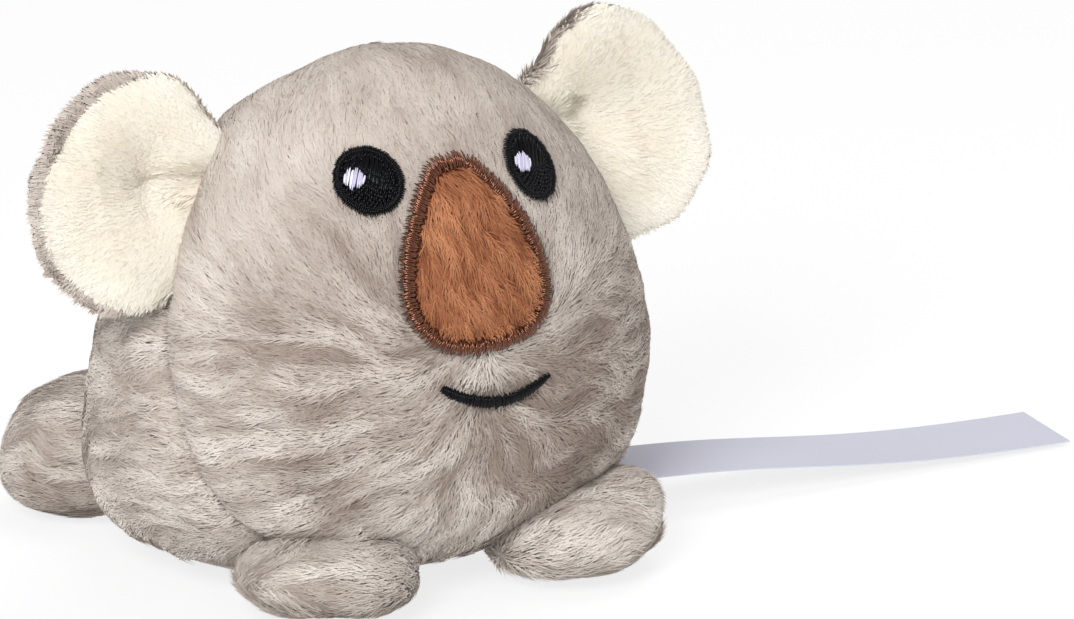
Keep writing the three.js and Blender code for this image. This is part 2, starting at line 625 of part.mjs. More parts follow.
addPiece(toy, "fibre_filling", fibreFilling(), fibre);
addPiece(toy, "pellet_bag_top", sideOf(bagShell, bagSeam, 1, halfGap), lining);
addPiece(toy, "pellet_bag_bottom", sideOf(bagShell, bagSeam, -1, halfGap), lining);
addPiece(toy, "pellet_fill", pelletFill, pellets);

for (const [word, side] of [["left", 1], ["right", -1]]) {
  addPiece(toy, `eye_${word}`, eyeFill(side), black);
  addPiece(toy, `eye_rim_${word}`, eyeRim(side), black);
  addPiece(toy, `eye_glint_${word}`, glint(side), whiteThread);
}
addPiece(toy, "nose_patch", nosePatch, brown);
addPiece(toy, "nose_border", noseBorder, darkBrown);
addPiece(toy, "mouth_stitching", mouth, black);

const earFront = earPly(EAR_FRONT_THICKNESS, 0, -halfGap);
const earBack = earPly(0, EAR_BACK_THICKNESS, halfGap);
const footKinds = { front_foot: footPieces(FRONT_FOOT), rear_foot: footPieces(REAR_FOOT) };
for (const word of ["left", "right"]) {
  const put = word === "left" ? (solid) => solid : mirrored;
  const at = word === "left" ? (point) => point : mirroredPoint;
  const ear = groupAt(at(earHinge));
  addPiece(ear, `ear_front_${word}`, put(earFront), cream, at(earHinge));
  addPiece(ear, `ear_back_${word}`, put(earBack), grey, at(earHinge));
  for (const [kind, pieces] of Object.entries(footKinds)) {
    const origin = at(pieces.hinge.point);
    const foot = groupAt(origin);
    addPiece(foot, `${kind}_${word}_top`, put(pieces.top), grey, origin);
    addPiece(foot, `${kind}_${word}_bottom`, put(pieces.bottom), grey, origin);
    addPiece(foot, `${kind}_${word}_filling`, put(pieces.filling), fibre, origin);
  }
}

addPiece(groupAt(ribbonHinge), "ribbon", ribbonSolid(), satin, ribbonHinge);

export default toy;
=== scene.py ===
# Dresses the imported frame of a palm-sized plush koala whose underside wipes screens.
# Units are metres. +Z is up, the toy faces -Y, and +X is the toy's own left.
import json
import math

import bpy
import numpy as np
from bpy.props import FloatProperty, FloatVectorProperty, IntProperty, PointerProperty
from mathutils import Matrix, Vector


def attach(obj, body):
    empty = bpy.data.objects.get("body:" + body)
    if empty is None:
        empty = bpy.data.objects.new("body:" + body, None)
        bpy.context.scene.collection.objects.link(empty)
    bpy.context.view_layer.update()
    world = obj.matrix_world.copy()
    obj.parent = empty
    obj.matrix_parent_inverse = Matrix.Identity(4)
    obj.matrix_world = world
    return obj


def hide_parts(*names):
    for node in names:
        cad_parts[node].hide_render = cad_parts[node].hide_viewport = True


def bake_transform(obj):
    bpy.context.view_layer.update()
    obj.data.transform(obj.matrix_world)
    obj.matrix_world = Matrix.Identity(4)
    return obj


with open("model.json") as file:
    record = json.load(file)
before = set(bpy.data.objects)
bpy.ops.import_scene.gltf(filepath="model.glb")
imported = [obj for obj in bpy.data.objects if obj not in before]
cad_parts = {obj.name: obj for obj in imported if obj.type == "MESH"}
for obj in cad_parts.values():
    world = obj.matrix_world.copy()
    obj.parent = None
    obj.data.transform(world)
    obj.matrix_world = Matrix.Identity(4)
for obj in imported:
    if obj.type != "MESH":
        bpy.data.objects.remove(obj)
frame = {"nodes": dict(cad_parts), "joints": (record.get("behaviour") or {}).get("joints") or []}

bl_info = {
    "name": "Plush Koala Screen Cleaner",
    "version": (1, 0, 0),
    "blender": (4, 5, 0),
    "location": "View3D > Sidebar > Koala",
    "description": "Dresses the frame of a plush koala whose underside wipes screens",
    "category": "Object",
}

MM = 0.001

# The body's form, as the frame has it: a leaning egg, fuller low behind than low in front
BODY_HALF_WIDTH = 32.5 * MM
BODY_FRONT_DEPTH = 30.8 * MM
BODY_REAR_DEPTH = 29.8 * MM
BODY_HEIGHT = 61 * MM
BODY_WAIST_HEIGHT = 18.6 * MM
BODY_LEAN = 0.24
UPPER_ROUNDNESS = 1.06
LOWER_FRONT_ROUNDNESS = 0.8
LOWER_REAR_ROUNDNESS = 0.6
SOLE_SINK = 0.9 * MM
SOLE_SEAM_HEIGHT = 4.5 * MM
FACE_SEAM_FOOT_Y = -20.5 * MM
FACE_SEAM_SLOPE = 0.33
PANEL_INSET = 0.9 * MM  # a little under the plush, where limbs are cut off so that their roots stay hidden
SEAM_ALLOWANCE = 2.2 * MM
PLUSH_CLOTH = 0.9 * MM
PAD_CLOTH = 1.2 * MM
PAD_INSET = 0.3 * MM
PAD_CLEARANCE = 0.05 * MM  # the pad's cloth stays this far over the table

# Ears
EAR_RADIUS = 12.9 * MM
EAR_CENTRE_X = 28.4 * MM
EAR_CENTRE_HEIGHT = 47.4 * MM
EAR_FRONT_THICKNESS = 3.4 * MM
EAR_BACK_THICKNESS = 4.4 * MM
EAR_LOBE = 0.13
EAR_LOBE_ANGLE = math.radians(-42)
EAR_PLUMPNESS = 0.8
EAR_CUP = 1.6 * MM
EAR_SWEEP = 0.08
EAR_PLEAT_DEPTH = 3.6 * MM
EAR_PLEAT_WIDTH = 4.6 * MM
EAR_PLEAT_REACH = 11 * MM
EAR_ROOT_THICKNESS_SHARE = 0.5
EAR_ROOT_BLEND = 9 * MM
EAR_CREASE_HEIGHT = 0.5 * MM
EAR_CREASE_DEPTH = 1 * MM
EAR_BACKING_DEPTH = 1 * MM
EAR_ROLLS = {
    "left": (0.8 * MM, math.radians(90), math.radians(165)),
    "right": (1.2 * MM, math.radians(-85), math.radians(112)),
}
EAR_ROLL_FADE = math.radians(25)
EAR_PILE_RISE = 0.22 * MM
EAR_FUZZ = 0.1 * MM
EAR_COVER = 0.45 * MM  # how much further the cream pile stands out round the rim where no grey rolls over it
EAR_UNEVENNESS = {
    # degrees from outwards to upwards, degrees that it spreads over, and how much fuller the ear is there
    "left": ((130, 25, -0.8 * MM), (20, 30, 0.3 * MM)),
    "right": ((42, 36, -1.4 * MM), (118, 26, 1.8 * MM), (-105, 28, -2.4 * MM)),
}
EAR_BEND = (-1.5 * MM, 7 * MM)  # from its sewn line, where an ear would start to bend and where it would be all ear

# Feet
FOOT_LIFT = 1.2 * MM
FOOT_SEAM_SHARE = 0.36
FOOT_FLATNESS = 0.84
FOOT_BACKING_DEPTH = 1 * MM
FOOT_STUFFING_DEPTH = 2.1 * MM
FOOT_CLOTH = 0.8 * MM
FOOT_BEND = (-3 * MM, 5 * MM)
FOOT_TUFTS = {
    # place on the foot, how far it spreads, and how far it stands out
    "front_foot_left": (((24 * MM, -21.5 * MM, 9.5 * MM), 4.2 * MM, 1.8 * MM),),
    "front_foot_right": (((-24.5 * MM, -18.5 * MM, 1.8 * MM), 5 * MM, -1.2 * MM),
                         ((-20 * MM, -27 * MM, 1.5 * MM), 8 * MM, -1.5 * MM)),
    "rear_foot_right": (((-30 * MM, 27 * MM, 3 * MM), 6 * MM, 0.8 * MM),),
}
FEET = {
    # sag: how much lower the soft underside hangs than the frame's. shade: painted light on its pile, or
    # painted shade where it is below 0
    "front_foot": {
        "x": 15.2 * MM, "y": -20.2 * MM, "width": 21.4 * MM, "length": 21.2 * MM, "height": 10.4 * MM,
        "sag": 0.6 * MM, "shade": 0.05},
    "rear_foot": {
        "x": 20.9 * MM, "y": 28.0 * MM, "width": 23.6 * MM, "length": 22.8 * MM, "height": 15.0 * MM,
        "sag": 1.1 * MM, "shade": -0.1},
}

# Face
EYE_X = 9.65 * MM
EYES_SHIFT = -0.65 * MM
EYE_HEIGHT = 50.25 * MM
EYES_TILT = 0.4 * MM
EYE_WIDTH = 7.3 * MM
EYE_TALLNESS = 8.5 * MM
EYE_LEANS = {1: math.radians(2.5), -1: math.radians(33)}
EYE_RIM_WIDTH = 0.9 * MM
GLINT_WIDTH = 2.2 * MM
GLINT_TALLNESS = 2.1 * MM
GLINT_SHIFT_X = -1.45 * MM
GLINT_SHIFT_UP = 0.3 * MM
NOSE_SHIFT = -0.6 * MM
NOSE_WIDEST_HEIGHT = 38.1 * MM
NOSE_HALF_WIDTH = 8.7 * MM
NOSE_RISE = 14.3 * MM
NOSE_DROP = 6.4 * MM
NOSE_TILT = math.radians(3.5)
NOSE_TAPER = 0.59
NOSE_TIP_ROUNDNESS = 0.42
NOSE_FOOT_ROUNDNESS = 0.7
NOSE_FOOT_SKEW = 0.75 * MM  # its foot sits this much more to the toy's left than the rest
NOSE_BORDER_WIDTH = 1.6 * MM
NOSE_BORDER_SPREAD = 0.25 * MM  # how much wider the border is at the toy's right
EYE_STITCH_SLOPE = math.radians(72)
EYE_ROW_SPACING = 0.21 * MM
EYE_STITCH_LENGTH = 0.9 * MM
LONG_STITCH = 8 * MM  # longer than any row, so that one stitch crosses it
STITCH_ROOT = 0.35 * MM  # how far under the plush the border's stitches start and end
MOUTH_SHIFT = 0.8 * MM
MOUTH_HALF_WIDTH = 6.6 * MM
MOUTH_END_HEIGHT = 27.8 * MM
MOUTH_TILT = 0.4 * MM
MOUTH_DROP = 2.1 * MM
MOUTH_THICKNESS = 1.6 * MM

# Ribbon
RIBBON_WIDTH = 11 * MM
RIBBON_LENGTH = 63 * MM
RIBBON_TUCK = 2 * MM
RIBBON_YAW = math.radians(-3)
RIBBON_ROOT_TWIST = math.radians(1.7)
RIBBON_END_TWIST = math.radians(0.7)
RIBBON_ROOT_LIFT = 1 * MM
RIBBON_FALL = 8.2 * MM
RIBBON_RECOVERY = 3.6 * MM
RIBBON_ARCH = 1.3 * MM
RIBBON_ARCH_SHARE = 0.28
RIBBON_ARCH_SPREAD = 0.3
RIBBON_SPARE = 1 * MM  # the cut end lies this much further out than the frame's

# How fine the meshes are
BODY_SIDES = 128
BODY_RINGS = 84
MOST_FIBRES = 33000  # in one piece: six faces each, so that it stays under 200,000
RIPPLE_WAVES = 7

# Pile. A share of the fibres are flat locks of undercoat, which fill the gaps between the others
LOCK_SHARE = 0.16
LOCK_BREADTH = 3.4
LOCK_RISE = 0.5
FIBRE_CURL = math.radians(140)  # over a fibre's length: it rises, and its tip dips back among the others
BROWN_PILE_LENGTH = 2.2 * MM
TABLE_CLEARANCE = 0.02 * MM  # no fibre goes lower

# The body's pile. Shares are of what it has elsewhere
SEAM_RISE_SHARE = 0.75
SEAM_RISE_SPREAD = 2.2 * MM
SEAM_LENGTH_SHARE = 0.8
SEAM_LENGTH_SPREAD = 2.5 * MM
FOREHEAD_RISE_SHARE = 0.65
FOREHEAD_HEIGHTS = (30 * MM, 46 * MM)
FRINGE_HEIGHTS = (SOLE_SEAM_HEIGHT + 0.5 * MM, SOLE_SEAM_HEIGHT + 4 * MM)
FRINGE_RIGHT_SHARE = 0.4
FRINGE_RIGHT_PLACES = (6 * MM, 15 * MM)
FRINGE_RISE = 0.7 * MM
FRINGE_LENGTH = 1.6 * MM
CROPPED_SHARE = 0.3  # length of the fibres that would reach over the embroidery
PRESSED_SHARE = 0.75  # rise of the fibres that grow under its edge
BARE_INSET = 1.3 * MM  # from this far inside its edge, no fibre grows under it

# A direction in which hardly any two corners of a form lie level, so that it can put them in order
SORTING_DIRECTION = (1, 0.618034, 0.291680)

MATERIALS = {}
FORMS = {}


def linear(code):
    """The linear colour of an sRGB hex value such as #c8beb7."""
    values = [int(code[i:i + 2], 16) / 255 for i in (1, 3, 5)]
    return tuple(v / 12.92 if v <= 0.04045 else ((v + 0.055) / 1.055) ** 2.4 for v in values)


def colour(name, code, description):
    return FloatVectorProperty(
        name=name, description=description, subtype="COLOR", size=3, min=0, max=1, default=linear(code))


def length(name, millimetres, description):
    return FloatProperty(name=name, description=description, default=millimetres * MM, min=0, unit="LENGTH")


def bearing(name, degrees, description):
    return FloatProperty(name=name, description=description, default=math.radians(degrees), subtype="ANGLE")


def wattage(name, watts, description):
    return FloatProperty(name=name, description=description, default=watts, min=0, unit="POWER")


class KoalaPlush(bpy.types.PropertyGroup):
    """Sizes and colours of the grey, cream and brown plush."""
    backing_depth: length("Backing depth", 0.8, "How far the knitted backing lies below the frame's plush")
    pile_length: length("Pile length", 2.3, "Length of the grey pile's fibres")
    pile_rise: length("Pile rise", 0.5, "How far the lying fibres' tips stand over the backing")
    fibre_width: length("Fibre width", 0.2, "Width of one drawn fibre, which stands for a few real ones")
    fibre_spacing: length("Fibre spacing", 0.24, "Mean distance between neighbouring fibres")
    ear_pile_length: length("Ear pile length", 2.2, "Length of the cream pile's fibres")
    seam_depth: length("Seam depth", 1.3, "How deep a seam draws the plush in")
    seam_width: length("Seam width", 1.5, "How far to each side of a seam the plush is drawn in")
    # Each pile's colours get lighter from root to tip, as painted shade in the pile's depth.
    grey_root: colour("Grey root", "#8c7d73", "Grey pile in its depth")
    grey_middle: colour("Grey middle", "#b8ada4", "Grey pile half way up")
    grey_tip: colour("Grey tip", "#dcd4cc", "Grey pile at its tips, where it is brushed light")
    cream_root: colour("Cream root", "#dad0be", "Cream pile in its depth")
    cream_middle: colour("Cream middle", "#ded8cb", "Cream pile half way up")
    cream_tip: colour("Cream tip", "#e6e2d9", "Cream pile at its tips")
    brown_root: colour("Brown root", "#6e3d25", "Brown pile in its depth")
    brown_middle: colour("Brown middle", "#945b3c", "Brown pile half way up")
    brown_tip: colour("Brown tip", "#b47a55", "Brown pile at its tips")


class KoalaThread(bpy.types.PropertyGroup):
    """Sizes and colours of the embroidery."""
    thread_width: length("Thread width", 0.3, "Width of one stitch of the embroidery")
    thread_spacing: length("Thread spacing", 0.25, "Distance from one satin stitch to the next")
    border_arch: length("Border arch", 0.92, "How far the nose border's stitches arch up")
    black: colour("Black thread", "#030304", "Thread of the eyes and the mouth")
    brown: colour("Brown thread", "#34180d", "Thread of the nose border")
    white: colour("White thread", "#bdb9da", "Thread of the eyes' glints")


class KoalaRibbon(bpy.types.PropertyGroup):
    """The ribbon's thickness, and the colours of the ribbon and the pad."""
    thickness: length("Thickness", 0.14, "Thickness of the satin ribbon")
    satin: colour("Satin", "#c6c6d5", "The ribbon's polyester satin")
    microfibre: colour("Microfibre", "#bdb9b6", "The pad's microfibre cloth")


class KoalaStage(bpy.types.PropertyGroup):
    """Camera and light."""
    azimuth: bearing("Azimuth", -25.8349, "Direction the camera stands in")
    elevation: bearing("Elevation", 17, "Height of the camera over the horizon")
    roll: bearing("Roll", -1.9272, "How far the camera leans")
    distance: length("Distance", 600, "From the camera to the middle of the toy")
    key_power: wattage("Key light", 7.3, "Power of the large soft lamp")
    fill_power: wattage("Fill light", 0.9, "Power of the lamp on the other side")
    top_power: wattage("Top light", 3.8, "Power of the lamp overhead")
    sky: FloatProperty(name="Sky", description="Strength of the even light all round", default=0.38, min=0)
    paper: colour("Paper", "#f4f4f4", "The studio floor's colour")


# Mesh tools

def deselect():
    bpy.ops.object.select_all(action="DESELECT")


def only(obj):
    deselect()
    obj.select_set(True)
    bpy.context.view_layer.objects.active = obj
    return obj


def edit(obj, *steps):
    """Runs edit mode steps on all of an object's mesh."""
    only(obj)
    bpy.ops.object.mode_set(mode="EDIT")
    bpy.ops.mesh.select_all(action="SELECT")
    for step in steps:
        step()
    bpy.ops.object.mode_set(mode="OBJECT")
    return obj


def modify(obj, kind, **settings):
    """Adds a modifier and applies it."""
    only(obj)
    modifier = obj.modifiers.new(kind.title(), kind)
    for key, value in settings.items():
        setattr(modifier, key, value)
    bpy.ops.object.modifier_apply(modifier=modifier.name)
    return obj


def coords(obj):
    points = np.empty(len(obj.data.vertices) * 3)
    obj.data.vertices.foreach_get("co", points)
    return points.reshape(-1, 3)


def triangles(obj):
    """The faces as triangles of corners, in the order of their places, as an operator may shuffle faces."""
    rank = np.argsort(np.argsort(coords(obj) @ SORTING_DIRECTION))
    found = []
    for face in obj.data.polygons:
        ring = list(face.vertices)
        start = min(range(len(ring)), key=lambda i: rank[ring[i]])
        ring = ring[start:] + ring[:start]
        found += [(ring[0], ring[i], ring[i + 1]) for i in range(1, len(ring) - 1)]
    found = np.array(found)
    return found[np.lexsort(rank[found].T[::-1])]


def directions(obj):
    """The surface's direction at each corner."""
    points, corners = coords(obj), triangles(obj)
    a, b, c = (points[corners[:, i]] for i in range(3))
    normals = np.zeros_like(points)
    for i in range(3):
        np.add.at(normals, corners[:, i], np.cross(b - a, c - a))
    return unit(normals)


def put(obj, points):
    obj.data.vertices.foreach_set("co", np.ascontiguousarray(points, dtype=np.float64).ravel())
    obj.data.update()
    return obj


def sphere(name, sides, rings):
    """A unit sphere with its poles along Z, ready to be shaped."""
    deselect()
    bpy.ops.mesh.primitive_uv_sphere_add(segments=sides, ring_count=rings, radius=1)
    obj = bpy.context.object
    obj.name = obj.data.name = name
    return obj


def cut(obj, point, normal, keep):
    """Cuts along a plane. keep is 1 for the side that the normal points to, and -1 for the other."""
    return edit(obj, lambda: bpy.ops.mesh.bisect(
        plane_co=point, plane_no=normal, clear_inner=keep > 0, clear_outer=keep < 0))


def tidy(obj):
    return edit(
        obj,
        lambda: bpy.ops.mesh.remove_doubles(threshold=0.004 * MM),
        lambda: bpy.ops.mesh.normals_make_consistent(inside=False),
    )


def smooth(obj, degrees=60):
    only(obj)
    bpy.ops.object.shade_smooth_by_angle(angle=math.radians(degrees))
    return obj


def unit(vectors):
    return vectors / np.maximum(np.linalg.norm(vectors, axis=1, keepdims=True), 1e-12)


def along_surface(vectors, normals):
    """The part of each vector that lies along the surface, as a unit vector."""
    return unit(vectors - normals * np.sum(vectors * normals, axis=1, keepdims=True))


def ease(values, low, high):
    """0 below low, 1 above high, and smooth between them."""
    share = np.clip((values - low) / (high - low), 0, 1)
    return share * share * (3 - 2 * share)


def between(low, high, share):
    return low + (high - low) * share


def near(points, place, spread):
    """1 at a place, and less away from it."""
    return np.exp(-np.sum((points - place) ** 2, axis=1) / spread ** 2)


def ripple(points, size, seed):
    """A smooth uneven value of about -1 to 1 over space, whose swells are about one size apart."""
    rng = np.random.default_rng(seed)
    total = np.zeros(len(points))
    for _ in range(RIPPLE_WAVES):
        heading = rng.normal(size=3)
        wave = 2 * math.pi / (size * rng.uniform(0.8, 1.5) * np.linalg.norm(heading))
        total += np.sin(points @ heading * wave + rng.uniform(0, 2 * math.pi))
    return total * 1.6 / RIPPLE_WAVES


def grain(points, size, seed):
    """Seeded noise of about -1 to 1 over space, in cells of a size."""
    table = np.random.default_rng(seed).uniform(-1, 1, 4096)
    base = np.floor(points / size).astype(np.int64)
    share = points / size - base
    share = share * share * (3 - 2 * share)
    total = np.zeros(len(points))
    for corner in np.ndindex(2, 2, 2):
        weight = np.prod(np.where(corner, share, 1 - share), axis=1)
        x, y, z = (base + corner).T
        total += weight * table[(x * 7919 + y * 104729 + z * 1299709) % 4096]
    return total


def streaks(points, normals, lay_at, size, seed):
    """Uneven ridges that run along the lay: their height, and their slope across it."""
    lay = lay_at(points, normals)
    side = np.cross(normals, lay)
    places = [points]
    for sign in (1, -1):
        place = points
        for _ in range(4):
            place = place + lay_at(place, normals) * (sign * 0.8 * size)
            places.append(place)

    def height(shift):
        fine = sum(grain(place + side * shift, size, seed) for place in places)
        broad = sum(grain(place + side * shift, 2.4 * size, seed + 1) for place in places)
        return (0.75 * fine + 0.45 * broad) / (0.9 * math.sqrt(len(places)))

    low, high = height(-0.25 * size), height(0.25 * size)
    return np.clip((low + high) / 2, -1, 1), np.clip((high - low) * 1.6, -1, 1)


def inside(outline, x, z):
    """Which points lie inside a closed outline of (x, z) corners."""
    found = np.zeros(len(x), bool)
    for (x0, z0), (x1, z1) in zip(outline, np.roll(outline, -1, axis=0)):
        if z0 != z1:
            found ^= ((z0 > z) != (z1 > z)) & (x < (x1 - x0) * (z - z0) / (z1 - z0) + x0)
    return found


def scatter(obj, spacing, seed):
    """Random points spread evenly over a mesh, with the surface's direction at each."""
    rng = np.random.default_rng(seed)
    points, normals, corners = coords(obj), directions(obj), triangles(obj)
    a, b, c = (points[corners[:, i]] for i in range(3))
    areas = np.linalg.norm(np.cross(b - a, c - a), axis=1) / 2
    sums = np.cumsum(areas)
    count = int(sums[-1] / spacing ** 2)
    chosen = np.searchsorted(sums, (np.arange(count) + rng.random(count)) / count * sums[-1])
    chosen = corners[np.minimum(chosen, len(corners) - 1)]
    u, v = rng.random((2, count))
    over = u + v > 1
    u[over], v[over] = 1 - u[over], 1 - v[over]
    weights = np.stack([1 - u - v, u, v], axis=1)[:, :, None]
    return (points[chosen] * weights).sum(axis=1), unit((normals[chosen] * weights).sum(axis=1))


def modelled(obj):
    """The corners and faces of a small modelled form, which is then removed."""
    tidy(obj)
    edit(obj, lambda: bpy.ops.mesh.quads_convert_to_tris())
    faces = np.array([tuple(face.vertices) for face in obj.data.polygons])
    points = coords(obj).copy()
    bpy.data.objects.remove(obj)
    return points, faces


def fibre_form():
    """A fibre along X from 0 to 1: a three-sided spindle, flat side up, widest a third of the way."""
    deselect()
    bend = 0.36
    bpy.ops.mesh.primitive_cone_add(
        vertices=3, radius1=0.5, depth=1 - bend, end_fill_type="TRIFAN",
        location=((1 + bend) / 2, 0, 0), rotation=(0, math.pi / 2, 0))
    bpy.ops.object.transform_apply(location=True, rotation=True)
    obj = bpy.context.object
    for vertex in obj.data.vertices:
        vertex.select = math.hypot(vertex.co.y, vertex.co.z) < 0.1 and vertex.co.x < 0.5
        if vertex.select:
            vertex.co.x = 0
    obj.rotation_euler.x = -math.pi / 2
    bpy.ops.object.transform_apply(rotation=True)
    return modelled(obj)


def stitch_form():
    """A stitch along X from 0 to 1: a fine roll of thread that narrows where it dives into the cloth."""
    deselect()
    bpy.ops.mesh.primitive_uv_sphere_add(segments=6, ring_count=6, radius=0.5, location=(0.5, 0, 0),
                                         rotation=(0, math.pi / 2, 0))
    bpy.ops.object.transform_apply(location=True, rotation=True)
    return modelled(bpy.context.object)


def copies(form, starts, forward, up, reach, width, depth, arch):
    """Copies of a form laid along a surface. arch gives the height of its line at a share of its reach."""
    points, _ = form
    along, across, high = points.T
    side = np.cross(up, forward)
    reach, width, depth = (np.broadcast_to(v, len(starts))[:, None] for v in (reach, width, depth))
    return (
        starts[:, None, :]
        + forward[:, None, :] * (reach * along)[:, :, None]
        + side[:, None, :] * (width * across)[:, :, None]
        + up[:, None, :] * (depth * high + arch(along[None, :]))[:, :, None]
    )


def joined(name, placed, form, tones, rounded=True):
    """One mesh of placed copies of a form, with a tone for each corner and a bake map of small cells."""
    count, corners = placed.shape[:2]
    faces = (form[1][None] + corners * np.arange(count)[:, None, None]).reshape(-1, 3)
    mesh = bpy.data.meshes.new(name)
    mesh.vertices.add(count * corners)
    mesh.vertices.foreach_set("co", placed.reshape(-1).astype(np.float32))
    mesh.loops.add(faces.size)
    mesh.loops.foreach_set("vertex_index", faces.reshape(-1).astype(np.int32))
    mesh.polygons.add(len(faces))
    mesh.polygons.foreach_set("loop_start", (np.arange(len(faces)) * 3).astype(np.int32))
    mesh.polygons.foreach_set("use_smooth", np.full(len(faces), rounded))
    mesh.update(calc_edges=True)
    tone = mesh.attributes.new("tone", "FLOAT", "POINT")
    tone.data.foreach_set("value", tones.reshape(-1).astype(np.float32))
    cells = math.ceil(math.sqrt(count))
    column, row = np.divmod(np.arange(count), cells)
    flat = form[0][:, :2] * 0.8 + [0.1, 0.5]  # the form seen from above, in the middle of its cell
    spots = (flat[None] + np.stack([column, row], axis=1)[:, None]) / cells
    mesh.uv_layers.new(name="OFBake").data.foreach_set(
        "uv", spots.reshape(-1, 2)[faces.reshape(-1)].reshape(-1).astype(np.float32))
    obj = bpy.data.objects.new(name, mesh)
    bpy.context.scene.collection.objects.link(obj)
    return obj


def grow(name, roots, normals, lay_at, reach, rise, width, seed, ridge=0.9 * MM, gather=0.25 * MM,
         stray=0.22, contrast=1.0, shade_at=None, lock_share=LOCK_SHARE):
    """A pile of fibres that lie along a surface and gather into soft ridges."""
    rng = np.random.default_rng(seed)
    count = len(roots)
    height, slope = streaks(roots, normals, lay_at, ridge, seed)
    contrast = contrast(roots) if callable(contrast) else np.full(count, contrast)
    lay = lay_at(roots, normals)
    side = np.cross(normals, lay)
    turn = rng.normal(0, stray, count)
    heading = lay * np.cos(turn)[:, None] + side * np.sin(turn)[:, None]
    reach = reach * rng.uniform(0.75, 1.2, count)
    rise = rise * (1 + 0.45 * contrast * height) * rng.uniform(0.8, 1.15, count)
    locks = rng.random(count) < lock_share
    rise = np.where(locks, rise * LOCK_RISE, rise)
    form = FORMS["fibre"]
    placed = copies(
        form, roots, heading, normals, reach, np.where(locks, width * LOCK_BREADTH, width), width * 0.4,
        lambda along: rise[:, None] * np.sin(FIBRE_CURL * along))
    along = form[0][:, 0]
    placed += side[:, None, :] * (slope[:, None] * gather * along[None] ** 1.3)[:, :, None]
    placed[:, :, 2] = np.maximum(placed[:, :, 2], TABLE_CLEARANCE)
    # Painted shade in the pile's depth: each fibre is darker at its root than at its tip, darker in the
    # ridges' grooves and lighter on their crests, and a lock, which lies lower, darker still. A little tone
    # at random comes on top, then the piece's own tone and painted light.
    uneven = (0.27 * height + rng.normal(0, 0.05, count))[:, None]
    tones = 0.4 + contrast[:, None] * (0.2 * along[None] + uneven)
    tones -= 0.06 * locks[:, None]
    if shade_at:
        tones += np.reshape(shade_at(roots), (-1, 1))
    return joined(name, placed, form, np.clip(tones, 0, 1), rounded=False)


def grow_all(name, roots, normals, lay_at, reach, rise, width, seed, **settings):
    """Grows a pile in as many pieces as it needs, each with its share of the roots."""
    pieces = math.ceil(len(roots) / MOST_FIBRES)
    return [
        grow(f"{name}_{i + 1}", roots[part], normals[part], lay_at, reach[part], rise[part], width, seed,
             **settings)
        for i, part in enumerate(np.array_split(np.arange(len(roots)), pieces))]


# Materials

def add(tree, kind, settings, inputs):
    """Adds a node, and sets or links each input that is named."""
    node = tree.nodes.new(kind)
    for key, value in settings.items():
        setattr(node, key, value)
    for key, value in inputs.items():
        if isinstance(value, bpy.types.NodeSocket):
            tree.links.new(value, node.inputs[key])
        else:
            node.inputs[key].default_value = value
    return node


def surface(name, **settings):
    """A new material with a Principled shader, whose inputs are given with _ for a space."""
    material = bpy.data.materials.new(name)
    material.use_nodes = True
    tree = material.node_tree
    shader = tree.nodes["Principled BSDF"]
    for key, value in settings.items():
        shader.inputs[key.replace("_", " ")].default_value = value
    return material, tree, shader


def rgba(value):
    return (*value, 1)


def coordinates(tree, kind="Object"):
    return add(tree, "ShaderNodeTexCoord", {}, {}).outputs[kind]


def tone_of(tree):
    """What each fibre or stitch carries as its tone, which for a fibre holds painted shade and painted light
    as well.
    """
    return add(tree, "ShaderNodeAttribute", {"attribute_name": "tone"}, {}).outputs["Fac"]


def shaded(tree, shader, share, low, high):
    """Gives a shader the colours between two, by a share."""
    mix = add(tree, "ShaderNodeMix", {"data_type": "RGBA"}, {
        "Factor": share, "A": rgba(low), "B": rgba(high)})
    tree.links.new(mix.outputs["Result"], shader.inputs["Base Color"])


def bumped(tree, shader, height, strength, distance):
    bump = add(tree, "ShaderNodeBump", {}, {"Height": height, "Strength": strength, "Distance": distance})
    tree.links.new(bump.outputs["Normal"], shader.inputs["Normal"])


def darker(shade, share):
    return tuple(v * share for v in shade)


def pile_material(name, root, middle, tip, sheen):
    """Polyester plush, knitted and sheared: matt, with light tips over a depth darkened as painted shade."""
    material, tree, shader = surface(
        name, Roughness=0.78, Specular_IOR_Level=0.25, Sheen_Weight=sheen, Sheen_Roughness=0.4,
        Sheen_Tint=rgba(tip))
    patches = add(tree, "ShaderNodeTexNoise", {}, {
        "Vector": coordinates(tree), "Scale": 1 / (11 * MM), "Detail": 2.0})
    shift = add(tree, "ShaderNodeMath", {"operation": "MULTIPLY_ADD"}, {
        0: patches.outputs["Fac"], 1: 0.3, 2: -0.15})
    level = add(tree, "ShaderNodeMath", {"operation": "ADD"}, {0: tone_of(tree), 1: shift.outputs[0]})
    ramp = add(tree, "ShaderNodeValToRGB", {}, {"Fac": level.outputs[0]})
    stops = ramp.color_ramp.elements
    stops[0].position, stops[0].color = 0.02, rgba(root)
    stops[1].position, stops[1].color = 0.95, rgba(tip)
    stops.new(0.45).color = rgba(middle)
    tree.links.new(ramp.outputs["Color"], shader.inputs["Base Color"])
    return material


def thread_material(name, shade, roughness, gloss, tint):
    """Rayon embroidery thread, twisted and glossy along its length."""
    material, tree, shader = surface(
        name, Roughness=roughness, IOR=1.5 + 0.5 * gloss, Specular_IOR_Level=gloss, Specular_Tint=rgba(tint))
    light = tuple(min(1, v * 1.7 + 0.002) for v in shade)
    shaded(tree, shader, tone_of(tree), darker(shade, 0.55), light)
    return material


